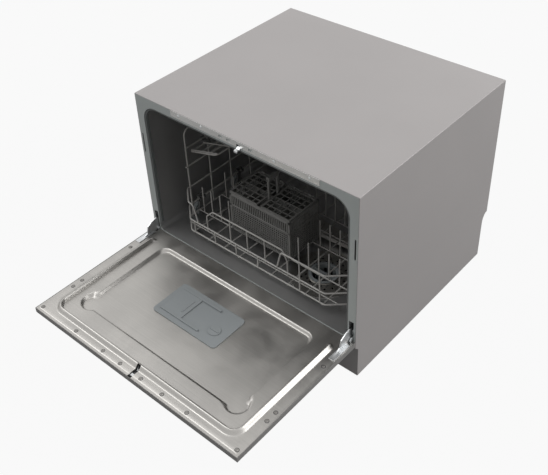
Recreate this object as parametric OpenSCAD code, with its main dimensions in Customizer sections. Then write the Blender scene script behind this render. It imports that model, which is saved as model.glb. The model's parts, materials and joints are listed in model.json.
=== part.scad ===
// Countertop dishwasher with a drop-down door, one pull-out rack and a fold-up cup shelf.
// Millimetres, +Z up, front towards -Y. The door is drawn lying open, the rack in the tub.

/* [Cabinet] */
// Width over the side panels
body_w = 550; // [540:1:565]
// Depth of the cabinet behind the closed door
body_d = 480; // [470:1:500]
// Height from the worktop to the top panel
body_h = 450; // [438:1:470]
// Thickness of the painted sheet
sheet = 1; // [0.8:0.1:1.2]
// Height of the feet
foot_h = 8; // [6:1:12]
// Radius of a foot
foot_r = 15; // [12:1:18]
// Distance from a foot to the nearest side
foot_inset = 40; // [30:1:60]
// Height of the kick panel's upper edge
kick_top = 92; // [88:1:94]
// Distance of the kick panel behind the front
kick_set = 9; // [6:1:12]
// Depth of the lower recess at the back
recess_d = 16; // [12:1:22]
// Height where the lower recess starts
recess_z = 122; // [110:1:135]

/* [Tub] */
// Height of the tub floor at the sides, where the wheels run
floor_z = 110; // [108:1:112]
// Frame width beside and above the tub mouth
frame_w = 19; // [18:0.5:21]
// Radius of the upper corners of the tub
tub_r = 36; // [30:1:45]
// Radius of the lower corners of the tub
tub_low_r = 10; // [8:1:12]
// Gap between the tub and the rear panel
tub_rear_gap = 50; // [40:1:55]
// Depth of the well under the rack
well_h = 13; // [12:1:14]
// Distance from the well to the tub wall
well_gap = 56; // [52:1:66]
// Thickness of the mouth seal
seal_t = 4.3; // [3.8:0.1:4.6]
// Depth of the mouth seal along the tub
seal_d = 7; // [6:0.5:9]

/* [Door] */
// Height of the hinge axis over the tub floor
hinge_up = 1; // [0.8:0.1:1.2]
// Distance of the door's top edge under the cabinet's top
door_drop = 14; // [12:1:18]
// Thickness of the door's rim
door_rim = 12; // [11:0.5:14]
// Gap between the closed door and the frame
door_gap = 2; // [1.8:0.1:2.4]
// Height of the raised front of the door
pan_h = 18; // [16:1:22]
// Distance of the raised front from the door's edges
pan_inset = 34; // [30:1:40]
// Height of the ridge on the inner door
ridge_h = 8; // [7:0.5:9]
// Width of the ridge
ridge_w = 10; // [9:0.5:12]
// Distance from the door's top edge to the ridge
ridge_top = 22; // [20:1:26]
// Gap between the ridge and the tub mouth at the sides
ridge_gap = 5; // [4.8:0.1:5.6]
// Radius of the ridge's outer corners
ridge_r = 30; // [26:1:34]
// Depth of the stamped recess in the inner door
liner_drop = 7; // [6:0.5:8]
// Radius of the lobes at the recess corners
lobe_r = 24; // [20:1:26]
// Height of the fascia
fascia_h = 48; // [44:1:52]
// Thickness of the fascia in front of its seat
fascia_t = 3; // [2.5:0.5:4]
// Radius of a button
button_r = 9; // [7:0.5:10]
// Travel of a button
button_travel = 1.5; // [1:0.1:1.6]
// Width of the display window
window_w = 110; // [90:1:130]
// Width of the finger pull
pull_w = 150; // [120:1:170]

/* [Hinge] */
// Radius of the hinge pin
pin_r = 3; // [2.5:0.1:3.5]
// Radial clearance of the pin in the door arm
pin_fit = 0.05; // [0.03:0.01:0.08]
// Radius of the hub round the hinge pin
hub_r = 8; // [7:0.5:8.5]
// Thickness of the door arm
arm_t = 2.5; // [2:0.1:3]
// Length of the lever that the spring pulls on
lever_l = 30; // [28:1:32]
// Outer radius of the counterbalance spring
spring_r = 5; // [4:0.5:5.5]
// Wire radius of the counterbalance spring
spring_wire = 0.8; // [0.6:0.1:0.9]
// Curls of the counterbalance spring
spring_turns = 14; // [10:1:18]

/* [Rack] */
// Thickness of the coated rack wire
wire_d = 3.6; // [3.2:0.1:4]
// Thickness of the rack's uprights and cross wires
thin_d = 3.2; // [2.8:0.1:3.4]
// Distance from the rack's side to the tub wall
rack_gap = 38; // [36:1:44]
// Depth of the rack
rack_d = 380; // [370:1:385]
// Distance of the rack behind the front when it is pushed in
rack_y = 25; // [22:1:30]
// Length of the chamfer across the rack's front corners, sideways
cham_x = 36; // [30:1:42]
// Length of the chamfer across the rack's front corners, front to back
cham_y = 32; // [26:1:38]
// Height of the base wires over the tub floor
base_up = 20; // [19:0.5:21]
// Height of the middle rails over the base
mid_up = 30; // [27:1:33]
// Height of the right rail over the base
right_up = 75; // [70:1:80]
// Height of the left rail over the base
left_up = 129; // [120:1:135]
// Height of the upper left rail over the base
back_up = 220; // [212:1:226]
// Height of the plate tines
tine_h = 68; // [55:1:80]
// Spacing of the plate tines
tine_pitch = 26; // [24:1:30]
// Radius of a rack wheel
wheel_r = 14; // [13:0.5:14.5]
// Width of a rack wheel
wheel_w = 9; // [8:0.5:10]
// Radius of a wheel axle
axle_r = 3; // [2.5:0.1:3.5]

/* [Basket and shelf] */
// Width of the cutlery basket
basket_w = 164; // [150:1:176]
// Depth of the cutlery basket
basket_d = 95; // [88:1:100]
// Height of the cutlery basket
basket_h = 100; // [90:1:106]
// Distance of the basket from the rack's left side
basket_in = 104; // [100:1:110]
// Distance of the basket behind the rack's front
basket_y = 55; // [52:1:58]
// Wall of the basket
basket_t = 2.4; // [2:0.1:3]
// Height of the grip over the basket
grip_h = 52; // [45:1:56]
// Width of the cup shelf
shelf_w = 78; // [70:1:80]
// Height of the shelf hinge over the base
shelf_up = 170; // [166:1:174]
// Slope of the cup shelf
shelf_tilt = 16; // [10:1:20]

/* [Spray and drain] */
// Gap between the spray arm's tips and the sides of the well
arm_gap = 28; // [24:1:40]
// Radius of the spray arm's bearing
spray_r = 12; // [11:0.5:13]
// Radius of the sump
sump_r = 55; // [50:1:58]
// Radius of the filter cup
cup_r = 28; // [25:1:30]
// Outer radius of the water inlet nipple
inlet_r = 13.2; // [12:0.1:14]
// Outer radius of the drain spigot
drain_r = 9.5; // [9:0.5:11]

/* [Hidden] */
$fn = 48;
fit = 0.3;
half = body_w / 2;
inner = half - sheet;
body_top = body_h - sheet;
mouth_x = half - frame_w;
mouth_top = body_h - frame_w;
hinge_z = floor_z + hinge_up;
door_top = body_h - door_drop - hinge_z;
door_low = 0.5;
door_face = -door_gap - door_rim;
pan_face = door_face - pan_h;
y_mid = (body_d - door_top) / 2;
well_x = mouth_x - well_gap;
arm_reach = well_x - arm_gap;
rack_x = mouth_x - rack_gap;
basket_x = basket_in - rack_x;
tub_back = body_d - tub_rear_gap;
well_z = floor_z - well_h;
well_y0 = 40;
well_r = 25;
well_y1 = tub_back - 30;
spray_y = (well_y0 + well_y1) / 2;
grey = "#8d9092";
steel = "#b4b2ac";
dark = "#3a3b3c";
coat = "#7d8184";
zinc = "#c9ccd0";

// ---- helpers ----
module machine() translate([0, -y_mid, 0]) children();
module on_door() machine() translate([0, 0, hinge_z]) rotate([90, 0, 0]) children();
module on_rack() machine() translate([0, rack_y, 0]) children();
module both() for (s = [0, 1]) mirror([s, 0, 0]) children();
module block(lo, hi) translate(lo) cube(hi - lo);
module along_y(y0, y1) translate([0, y1, 0]) rotate([90, 0, 0]) linear_extrude(y1 - y0) children();
module along_x(x0, x1) translate([x0, 0, 0]) rotate([90, 0, 90]) linear_extrude(x1 - x0) children();
module arch(hw, z0, z1, rt, rb) {
    translate([-hw, z0 + rb]) square([2 * hw, z1 - z0 - rt - rb]);
    translate([-hw + rt, z1 - rt]) square([2 * (hw - rt), rt]);
    translate([-hw + rb, z0]) square([2 * (hw - rb), rb]);
    for (s = [-1, 1]) {
        translate([s * (hw - rt), z1 - rt]) circle(rt);
        translate([s * (hw - rb), z0 + rb]) circle(rb);
    }
}
module rod_x(x0, x1, r, y, z) translate([x0, y, z]) rotate([0, 90, 0]) cylinder(r = r, h = x1 - x0);
module rod_y(y0, y1, r, x, z) translate([x, y1, z]) rotate([90, 0, 0]) cylinder(r = r, h = y1 - y0);
module rod_z(z0, z1, r, x, y) translate([x, y, z0]) cylinder(r = r, h = z1 - z0);
// A bar of eight flats between two points, run on past both by ext
module wire(p, q, ext = 0, d = wire_d) {
    v = q - p;
    len = norm(v);
    translate(p) rotate([0, acos(v[2] / len), atan2(v[1], v[0])])
        translate([0, 0, -ext]) rotate([0, 0, 22.5])
            cylinder(d = d / cos(22.5), h = len + 2 * ext, $fn = 8);
}
module path(p, d = wire_d) {
    for (i = [0 : len(p) - 2]) {
        first = i == 0 ? 0 : d * 0.3;
        last = i == len(p) - 2 ? 0 : d * 0.3;
        u = (p[i + 1] - p[i]) / norm(p[i + 1] - p[i]);
        wire(p[i] - u * first, p[i + 1] + u * last, 0, d);
    }
}

// ---- cabinet ----
recess_run = 24;
function rear_curve(t) = [for (i = [0 : 6]) let (a = i * 15)
    [body_d - t - recess_d * sin(a), recess_z - recess_run * (1 - cos(a))]];
module side_outline() {
    polygon(concat([[0, body_top], [0, kick_top], [kick_set, kick_top - kick_set],
        [kick_set, foot_h], [body_d - recess_d, foot_h]],
        [for (i = [6 : -1 : 0]) rear_curve(0)[i]], [[body_d, body_top]]));
}
skirt = 12;
module top_panel() color(grey) machine() {
    block([-half, 0, body_top], [half, body_d, body_h]);
    both() block([inner - fit - sheet, 2 * frame_t, body_top - skirt],
        [inner - fit, body_d - 2 * sheet, body_top]);
}
frame_t = 1.2;
tub_t = 1;
module side_panel() {
    along_x(inner, half) side_outline();
    block([inner - skirt, kick_set + frame_t, foot_h],
        [inner, body_d - recess_d - sheet, foot_h + sheet]);
}
module side_panel_right() color(grey) machine() side_panel();
module side_panel_left() color(grey) machine() mirror([1, 0, 0]) side_panel();
inlet_x = half - 90;
inlet_z = 62;
drain_x = half - 140;
drain_z = 40;
cord_x = 90 - half;
collar = 2;
collar_out = 1;
cord_z = 50;
cord_r = 9;
vent_x = -140;
vent_pitch = 18;
module rear_panel() color(grey) machine() difference() {
    along_x(-inner, inner) polygon(concat(
        [[body_d - sheet, body_top], [body_d, body_top]], rear_curve(0),
        [[body_d - recess_d, foot_h], [body_d - recess_d - sheet, foot_h]],
        [for (i = [6 : -1 : 0]) rear_curve(sheet)[i] - [0, sheet * i / 6]]));
    rod_y(body_d - recess_d - 5, body_d, inlet_r + collar + fit, inlet_x, inlet_z);
    rod_y(body_d - recess_d - 5, body_d, drain_r + collar + fit, drain_x, drain_z);
    rod_y(body_d - recess_d - 5, body_d, cord_r + fit, cord_x, cord_z);
    for (k = [0 : 7]) block([vent_x + vent_pitch * k, body_d - recess_d - 5, 70],
        [vent_x + vent_pitch * k + 8, body_d, 76]);
}
arm_x0 = mouth_x + 6;
arm_x1 = arm_x0 + arm_t;
ear_x0 = arm_x1 + 1;
ear_x1 = ear_x0 + 3;
slot_x0 = arm_x0 - 3.2;
slot_x1 = ear_x1 + 1;
hook_x = 5;
hook_w = 8;
hook_z = mouth_top + 0.9;
hook_t = 2;
barb_h = 2.4;
barb_y = -door_gap - 7;
hook_y = 16;
pivot_z = hook_z + 8;
pivot_r = 1.5;
module front_frame() color("#8f989b") machine() difference() {
    block([-inner, 0, kick_top], [inner, frame_t, body_top]);
    along_y(-1, frame_t + 1) arch(mouth_x, floor_z, mouth_top, tub_r, tub_low_r);
    both() {
        block([slot_x0, -1, hinge_z - hub_r - 3], [slot_x1, frame_t + 1, hinge_z + web_z + 2]);
        block([inner - 7, -1, hinge_z + 200], [inner - 4, frame_t + 1, hinge_z + 246]);
    }
    block([hook_x - hook_w / 2 - 1, -1, mouth_top - 1],
        [hook_x + hook_w / 2 + 1, frame_t + 1, pivot_z + 3]);
}
strip_x0 = 84 - mouth_x;
strip_x1 = mouth_x - 64;
strip_t = 0.8;
module latch_strip() color("#d6d5d2") machine() difference() {
    block([strip_x0, -strip_t, mouth_top + 5], [strip_x1, 0, body_top]);
    block([hook_x - hook_w / 2 - 1, -2, mouth_top], [hook_x + hook_w / 2 + 1, 1, pivot_z + 3]);
    for (x = [-40, -20, 34]) block([x - 4, -2, mouth_top + 9], [x + 4, 1, mouth_top + 14]);
    for (x = [-150, -90, 90, 170]) rod_y(-2, 1, 1.6, x, mouth_top + 11);
}
module latch_housing() color("#2e3032") machine() {
    lo = [hook_x - 15, frame_t, mouth_top + tub_t];
    hi = [hook_x + 15, hook_y + 18, body_top - fit];
    difference() {
        block(lo, hi);
        block([hook_x - hook_w / 2 - fit, -1, lo[2] - 1],
            [hook_x + hook_w / 2 + fit, hi[1] - 4, hi[2] - 2]);
    }
    rod_x(hook_x - 10, hook_x + 10, pivot_r, hook_y, pivot_z);
}
module latch_hook() color(zinc) machine() difference() {
    along_x(hook_x - hook_w / 2, hook_x + hook_w / 2) {
        polygon([[barb_y, hook_z - barb_h], [barb_y + 2, hook_z - barb_h],
            [barb_y + 2, hook_z], [-2.5, hook_z], [3, pivot_z - 4],
            [hook_y, pivot_z - 4], [hook_y, pivot_z + 4], [6, pivot_z + 1],
            [-3, hook_z + hook_t], [barb_y, hook_z + hook_t]]);
        translate([hook_y, pivot_z]) circle(4);
    }
    rod_x(hook_x - hook_w, hook_x + hook_w, pivot_r + 0.08, hook_y, pivot_z);
}
module kick_panel() color("#84867f") machine() {
    block([-inner, kick_set, foot_h], [inner, kick_set + frame_t, kick_top]);
    block([-inner, frame_t, kick_top - frame_t], [inner, kick_set, kick_top]);
}
pan_wall = 2;
module base_pan() color(dark) machine() difference() {
    block([-inner + skirt, kick_set + frame_t, foot_h],
        [inner - skirt, body_d - recess_d - sheet, foot_h + 22]);
    block([-inner + skirt + pan_wall, kick_set + frame_t + pan_wall, foot_h + 3],
        [inner - skirt - pan_wall, body_d - recess_d - sheet - pan_wall, foot_h + 30]);
    rod_y(body_d - recess_d - 20, body_d, drain_r + 14, drain_x, drain_z);
}
module feet() color("#2e2f30") machine()
    for (sx = [-1, 1]) for (y = [foot_inset, body_d - recess_d - foot_inset])
        translate([sx * (half - foot_inset), y, 0]) {
            cylinder(r = foot_r, h = foot_h * 0.6);
            cylinder(r = foot_r * 0.6, h = foot_h);
        }
sump_x = well_x - 95;
sump_y = 120;
floor_x = mouth_x - tub_low_r;
module tub() color("#5c5e5f") machine() difference() {
    along_y(frame_t, tub_back - tub_t)
        arch(mouth_x + tub_t, floor_z - tub_t, mouth_top + tub_t, tub_r + tub_t, tub_low_r + tub_t);
    along_y(0, tub_back) arch(mouth_x, floor_z, mouth_top, tub_r, tub_low_r);
    block([-floor_x, 0, floor_z - 2 * tub_t], [floor_x, tub_back, floor_z + tub_t]);
}
module tub_back_wall() color("#5c5e5f") machine() along_y(tub_back - tub_t, tub_back)
    arch(mouth_x + tub_t, floor_z - tub_t, mouth_top + tub_t, tub_r + tub_t, tub_low_r + tub_t);
module tub_floor() color("#5c5e5f") machine() difference() {
    union() {
        block([-floor_x, frame_t, floor_z - tub_t], [floor_x, tub_back - tub_t, floor_z]);
        translate([0, 0, well_z - tub_t]) linear_extrude(well_h) translate([0, well_y0])
            arch(well_x, 0, well_y1 - well_y0, well_r, well_r);
    }
    translate([0, 0, well_z]) linear_extrude(well_h + 5) translate([0, well_y0 + tub_t])
        arch(well_x - tub_t, 0, well_y1 - well_y0 - 2 * tub_t, well_r - tub_t, well_r - tub_t);
    rod_z(well_z - 5, well_z + 5, sump_r - 5, sump_x, sump_y);
    rod_z(well_z - 5, well_z + 5, spray_r + 4 + fit, 0, spray_y);
}
module tub_seal() color("#4a4d4e") machine() difference() {
    along_y(frame_t, frame_t + seal_d)
        arch(mouth_x - 0.2, floor_z + 20, mouth_top - 0.2, tub_r - 0.2, 1);
    along_y(0, frame_t + seal_d + 1)
        arch(mouth_x - seal_t, floor_z + 10, mouth_top - seal_t, tub_r - seal_t, 1);
}
// ---- door hinge ----
post_y = 160;
spring_z = hinge_z + 26;
spring_x = arm_x0 + arm_t / 2;
module hinge_brackets() color(zinc) machine() both() {
    rod_x(ear_x0, ear_x1, hub_r, 0, hinge_z);
    block([ear_x0, 0, hinge_z - 6], [ear_x1, 14, hinge_z + 6]);
    block([ear_x0, 8, hinge_z - 6], [inner, 14, hinge_z + 6]);
    block([inner - 1.5, frame_t, hinge_z - 14], [inner, post_y + 8, hinge_z + 36]);
    rod_x(spring_x - 3, inner - 1, 2.5, post_y, spring_z);
    rod_x(arm_x0 - 1.5, ear_x0 + 1, pin_r, 0, hinge_z);
    rod_x(arm_x0 - 2.5, arm_x0 - 0.4, pin_r + 1.5, 0, hinge_z);
}
function coil(r, y0, y1, n) = [for (i = [0 : 8 * n]) let (a = 45 * i)
    [r * cos(a), y0 + (y1 - y0) * i / (8 * n), r * sin(a)]];
module tube(p, r) {
    m = 6;
    k = len(p);
    pts = [for (i = [0 : k - 1]) let (
        t = p[min(i + 1, k - 1)] - p[max(i - 1, 0)], u = t / norm(t),
        b = cross(u, [0, 1, 0]), e = b / norm(b), f = cross(u, e))
        for (j = [0 : m - 1]) p[i] + r * cos(60 * j) * e + r * sin(60 * j) * f];
    polyhedron(pts, concat([[for (j = [0 : m - 1]) j]],
        [for (i = [0 : k - 2]) for (j = [0 : m - 1]) for (s = [0, 1])
            let (a = i * m + j, b = i * m + (j + 1) % m)
            s == 0 ? [a, a + m, b + m] : [a, b + m, b]],
        [[for (j = [m - 1 : -1 : 0]) (k - 1) * m + j]]));
}
module door_springs() color("#9b9da0") machine() both() {
    y0 = lever_l * 1.35;
    y1 = post_y - 14;
    translate([spring_x, 0, spring_z])
        tube(coil(spring_r - spring_wire, y0, y1, spring_turns), spring_wire);
    rod_y(lever_l * 0.98, y0 + 2, spring_wire, spring_x + spring_r - spring_wire, spring_z);
    rod_y(y1 - 2, post_y - 2.8, spring_wire, spring_x + spring_r - spring_wire, spring_z);
}
// ---- base of the machine ----
module sump() color("#55585a") machine() {
    difference() {
        union() {
            rod_z(foot_h + 34, well_z - tub_t, sump_r, sump_x, sump_y);
            rod_z(well_z - tub_t - 3, well_z - tub_t, sump_r + 7, sump_x, sump_y);
        }
        rod_z(foot_h + 37, well_z + 5, sump_r - 3, sump_x, sump_y);
    }
    for (a = [30, 150, 270]) translate([sump_x, sump_y, 0]) rotate(a)
        rod_z(foot_h + 3, foot_h + 34.5, 5, sump_r - 10, 0);
}
filter_r = sump_r + 16;
module flat_filter() color("#a9abad") machine() translate([sump_x, sump_y, well_z]) difference() {
    union() {
        cylinder(r = filter_r, h = 1.6);
        cylinder(r = cup_r + 5, h = 3);
    }
    translate([0, 0, -1]) cylinder(r = cup_r + 0.4, h = 6);
    for (k = [0 : 1]) for (i = [0 : 17]) rotate([0, 0, i * 20 + k * 10])
        translate([cup_r + 9 + 10 * k, 0, -1]) cylinder(r = 2.6, h = 4, $fn = 6);
}
cup_deep = 42;
module filter_cup() color("#8b8e90") machine() translate([sump_x, sump_y, well_z]) {
    difference() {
        union() {
            translate([0, 0, -cup_deep]) cylinder(r = cup_r, h = cup_deep + 3);
            translate([0, 0, 3.3]) cylinder(r = cup_r + 4, h = 1.5);
            translate([0, 0, 2]) cylinder(r = cup_r, h = 2);
        }
        translate([0, 0, -cup_deep + 2]) cylinder(r = cup_r - 2, h = cup_deep + 10);
        for (a = [0 : 30 : 330]) rotate([0, 0, a])
            translate([cup_r - 5, -3, -cup_deep + 6]) cube([10, 6, cup_deep - 12]);
    }
    translate([-cup_r + 1, -2, -10]) cube([2 * cup_r - 2, 4, 15]);
}
module spray_bearing() color("#6a6d6f") machine() translate([0, spray_y, 0]) difference() {
    union() {
        rod_z(foot_h + 40, well_z + 4, spray_r + 4, 0, 0);
        rod_z(well_z, well_z + 4, spray_r + 12, 0, 0);
        rod_z(well_z + 3, well_z + 15, spray_r, 0, 0);
    }
    rod_z(foot_h + 39, well_z + 20, spray_r - 3, 0, 0);
}
arm_z = well_z + 8;
module spray_arm() color("#9a9da0") machine() translate([0, spray_y, 0]) difference() {
    union() {
        translate([0, 0, arm_z]) linear_extrude(10) for (s = [0, 180]) rotate(s) {
            polygon([[0, -20], [arm_reach - 11, -11], [arm_reach - 11, 11], [0, 20]]);
            translate([arm_reach - 11, 0]) circle(11);
        }
        rod_z(arm_z - 3, arm_z + 14, spray_r + 10, 0, 0);
    }
    rod_z(arm_z - 4, well_z + 15.3, spray_r + 0.1, 0, 0);
    for (s = [0, 180]) rotate(s) for (i = [0 : 4])
        translate([50 + 25 * i, (i % 2) * 8 - 4, arm_z + 7]) cylinder(r = 2.2, h = 5);
    translate([arm_reach - 12, 0, arm_z + 4]) rotate([0, 0, 20]) block([-3, 0, 0], [3, 20, 2]);
}
pump_y = 345;
pump_z = foot_h + 40;
module wash_pump() color("#4b5a66") machine() {
    rod_x(-95, 10, 30, pump_y, pump_z);
    rod_x(10, 34, 36, pump_y, pump_z);
    rod_x(34, 56, 14, pump_y, pump_z);
    rod_x(-101, -95, 24, pump_y, pump_z);
    for (x = [-80, -15]) block([x, pump_y - 24, foot_h + 3], [x + 8, pump_y + 24, pump_z - 18]);
}
drain_pump_x = inner - 84;
drain_pump_y = 190;
module drain_pump() color("#3f4a52") machine() translate([drain_pump_x, drain_pump_y, foot_h]) {
    rod_y(15, 72, 20, 0, 26);
    rod_y(0, 15, 26, 0, 29);
    block([-10, 20, 3], [10, 60, 10]);
}
heater_x = 74 - inner;
heater_y = 200;
module heater() color("#b9bcbf") machine() translate([heater_x, heater_y, foot_h]) {
    rod_x(0, 80, 17, 0, 32);
    rod_x(-6, 0, 11, 0, 32);
    for (x = [10, 60]) block([x, -12, 3], [x + 8, 12, 20]);
}
nipple_l = 13;
module inlet_valve() color("#d9d9d4") machine() {
    back = body_d - recess_d;
    difference() {
        union() {
            block([inlet_x - 18, back - sheet - 44, inlet_z - 16],
                [inlet_x + 18, back - sheet - 3, inlet_z + 16]);
            rod_y(back - sheet - 3, back - sheet, inlet_r + 5, inlet_x, inlet_z);
            rod_y(back - sheet - 4, back + collar_out, inlet_r + collar, inlet_x, inlet_z);
            rod_y(back, back + nipple_l, inlet_r, inlet_x, inlet_z);
            rod_z(inlet_z + 16, inlet_z + 34, 13, inlet_x, back - 30);
        }
        rod_y(back - sheet - 20, back + nipple_l + 1, inlet_r - 4, inlet_x, inlet_z);
    }
}
module drain_spigot() color("#6b6e70") machine() {
    back = body_d - recess_d;
    difference() {
        union() {
            rod_y(back - sheet - 30, back + collar_out, drain_r + collar, drain_x, drain_z);
            rod_y(back - sheet - 3, back - sheet, drain_r + 5, drain_x, drain_z);
            rod_y(back, back + nipple_l, drain_r, drain_x, drain_z);
        }
        rod_y(back - sheet - 31, back + nipple_l + 1, drain_r - 2.5, drain_x, drain_z);
    }
}
module cord_gland() color(dark) machine() {
    back = body_d - recess_d;
    difference() {
        union() {
            rod_y(back - sheet - 8, back, cord_r, cord_x, cord_z);
            rod_y(back, back + 4, cord_r + 3, cord_x, cord_z);
            rod_y(back + 4, back + 12, cord_r - 2, cord_x, cord_z);
            rod_y(back - sheet - 4, back - sheet, cord_r + 3, cord_x, cord_z);
        }
        rod_y(back - sheet - 9, back + 13, 3.6, cord_x, cord_z);
    }
}
// ---- door, drawn as if closed and laid open by on_door ----
pan_x = half - pan_inset;
pan_z0 = pan_inset;
pan_z1 = door_top - pan_inset;
fascia_z1 = pan_z1 - 8;
fascia_z0 = fascia_z1 - fascia_h;
fascia_x = pan_x - 9;
fascia_back = pan_face + sheet;
pull_y0 = pan_face + 4.5;
pull_y1 = door_face - 2.5;
pull_z = pan_z1 - 17;
module notch(z1) both() block([slot_x0, door_face - 1, -1], [slot_x1, door_gap, z1]);
module door_panel() color(grey) on_door() difference() {
    union() {
        difference() {
            block([-half, door_face, door_low], [half, -door_gap, door_top]);
            block([-inner, door_face + sheet, door_low + sheet], [inner, 0, door_top - sheet]);
        }
        along_y(pan_face, door_face + sheet) arch(pan_x, pan_z0, pan_z1, 14, 14);
    }
    along_y(pan_face + sheet, door_face + 2 * sheet)
        arch(pan_x - sheet, pan_z0 + sheet, pan_z1 - sheet, 13, 13);
    block([-fascia_x, pan_face - 1, fascia_z0], [fascia_x, pan_face + 5, fascia_z1]);
    block([-pull_w / 2 - 1.5, pull_y0 - 1.5, pan_z1 - 5],
        [pull_w / 2 + 1.5, pull_y1 + 1.5, pan_z1 + 5]);
    notch(door_low + sheet + 1);
}
liner_x = inner - 0.3;
liner_z1 = door_top - sheet - 0.3;
ridge_x = mouth_x - ridge_gap;
ridge_z1 = door_top - ridge_top;
ridge_z0 = 14;
ridge_end = ridge_z0 + ridge_w + 7;
lin_x = ridge_x - ridge_w - 33;
lin_z0 = 34;
lin_z1 = ridge_z1 - ridge_w - 36;
module recess_outline(g) {
    arch(lin_x - g, lin_z0 + g, lin_z1 - g, 20, 20);
    for (s = [-1, 1]) translate([s * (lin_x - lobe_r + 14), lin_z1 - lobe_r + 8]) circle(lobe_r - g);
}
module ridge_outline(g) arch(ridge_x - g, ridge_z0 + g, ridge_z1 - g, ridge_r - g, 6);
disp_x = -10;
disp_z = 130;
disp_w = 170;
disp_h = 92;
pocket_x0 = hook_x - 12;
pocket_x1 = hook_x + 12;
liner_t = 1;
module door_liner() color(steel) on_door() difference() {
    union() {
        block([-liner_x, -door_gap - liner_t, door_low + sheet + 0.3], [liner_x, -door_gap, liner_z1]);
        along_y(-door_gap - liner_t, -door_gap + ridge_h) difference() {
            ridge_outline(0);
            ridge_outline(ridge_w);
            translate([-half, 0]) square([body_w, ridge_end]);
        }
        along_y(-door_gap - liner_drop - liner_t, -door_gap) recess_outline(0);
    }
    along_y(-door_gap - liner_t - 1, -door_gap + ridge_h - liner_t) difference() {
        ridge_outline(liner_t);
        ridge_outline(ridge_w - liner_t);
        translate([-half, 0]) square([body_w, ridge_end + liner_t]);
    }
    along_y(-door_gap - liner_drop, 20) recess_outline(liner_t);
    block([disp_x - disp_w / 2 + 10, -30, disp_z - disp_h / 2 + 8],
        [disp_x + disp_w / 2 - 10, 0, disp_z + disp_h / 2 - 8]);
    block([pocket_x0, -30, ridge_z1 - ridge_w - 2], [pocket_x1, 30, door_top]);
    notch(hub_r + 3);
}
module door_strike() color(zinc) on_door() {
    z0 = ridge_z1 - ridge_w - 6;
    z1 = liner_z1 - 2;
    back = barb_y - 2;
    lip = hook_z - barb_h - hinge_z - 0.5;
    block([pocket_x0 - 6, back, z0], [pocket_x1 + 6, back + liner_t, z1]);
    for (x = [pocket_x0 - 6, pocket_x1 + 6 - liner_t])
        block([x, back, z0], [x + liner_t, -door_gap - liner_t, z1]);
    block([pocket_x0 - 6, barb_y + 3, lip - 6], [pocket_x1 + 6, barb_y + 4.5, lip]);
    translate([hook_x, 0, 0]) along_y(back + liner_t, -door_gap - 1.5)
        polygon([[-9, z0 + 4], [0, z0 + 17], [9, z0 + 4], [7, z0 + 4], [0, z0 + 14], [-7, z0 + 4]]);
}
foot_z1 = 62;
web_z = 44;
lever_r = 5;
module door_arms() color(zinc) on_door() both() difference() {
    union() {
        along_x(arm_x0, arm_x1) {
            circle(hub_r);
            polygon([[-door_gap, 0], [-door_gap, foot_z1], [-0.5, foot_z1], [-0.5, web_z],
                [4, web_z - 10], [lever_l * 0.66, lever_l], [lever_l * 0.9, lever_l * 0.6],
                [lever_l, 4], [lever_l * 0.8, -6]]);
            rotate(-45) translate([0, -lever_r]) square([lever_l, 2 * lever_r]);
            rotate(-45) translate([lever_l, 0]) circle(lever_r);
        }
        block([arm_x0 - 3, -door_gap, 14], [ear_x1 + 3, -door_gap + 1.5, foot_z1]);
    }
    rod_x(arm_x0 - 1, arm_x1 + 1, pin_r + pin_fit, 0, 0);
    rotate([-45, 0, 0]) rod_x(arm_x0 - 1, arm_x1 + 1, 2, lever_l, 0);
}
screw_r = 3.4;
screw_h = 1.2;
side_z = [83, 215, 238, door_top - 12];
top_x = [-160, -80, -31, 26, 82, 145];
module door_screws() color("#caccce") on_door() {
    both() for (z = side_z) rod_y(-door_gap, -door_gap + screw_h, screw_r, half - 11, z);
    for (x = top_x) rod_y(-door_gap, -door_gap + screw_h, screw_r, x, door_top - 12);
}
button_z = (fascia_z0 + fascia_z1) / 2 - 1;
button_x = [32 - fascia_x, 72 - fascia_x, fascia_x - 132, fascia_x - 92, fascia_x - 32];
post_x = [12 - fascia_x, 122 - fascia_x, fascia_x - 62, fascia_x - 12];
flange_t = 1;
board_y = fascia_back + 2.3 + flange_t + button_travel;
module fascia() color("#26282a") on_door() difference() {
    union() {
        block([fit - fascia_x, pan_face + sheet - fascia_t, fascia_z0 + fit],
            [fascia_x - fit, fascia_back + 0.5, fascia_z1 - fit]);
        block([-fascia_x - 3, fascia_back, fascia_z0 - 3],
            [fascia_x + 3, fascia_back + 1.5, fascia_z1 + 2.5]);
        for (x = post_x) for (z = [-9, 9])
            rod_y(fascia_back + 1, board_y, 2.5, x, button_z + z);
    }
    for (x = button_x) rod_y(pan_face - 10, pan_face + 10, button_r + 0.4, x, button_z);
    block([-window_w / 2, pan_face - 10, button_z - 10], [window_w / 2, pan_face + 10, button_z + 10]);
}
module display_window() color("#101214") on_door() {
    block([-window_w / 2 + 0.2, pan_face + sheet - fascia_t + 0.6, button_z - 9.8],
        [window_w / 2 - 0.2, fascia_back + 1.5, button_z + 9.8]);
    block([-window_w / 2 - 3, fascia_back + 1.5, button_z - 12],
        [window_w / 2 + 3, fascia_back + 3, button_z + 12]);
}
module control_board() color("#2f5d3a") on_door()
    block([6 - fascia_x, board_y, button_z - 12], [fascia_x - 6, board_y + 1.6, button_z + 12]);
module handle_cup() color("#2b2d2f") on_door() difference() {
    union() {
        block([-pull_w / 2 - 1.5, pull_y0 - 1.5, pull_z - 1.5],
            [pull_w / 2 + 1.5, pull_y1 + 1.5, pan_z1]);
        block([-pull_w / 2 - 4, pull_y0 - 2.5, pan_z1], [pull_w / 2 + 4, pull_y1 + 2.5, pan_z1 + 1]);
    }
    block([-pull_w / 2, pull_y0, pull_z], [pull_w / 2, pull_y1, pan_z1 + 5]);
}
face_y = -door_gap - liner_drop;
cup_x0 = disp_x - disp_w / 2 + 16;
cup_w = 46;
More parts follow.
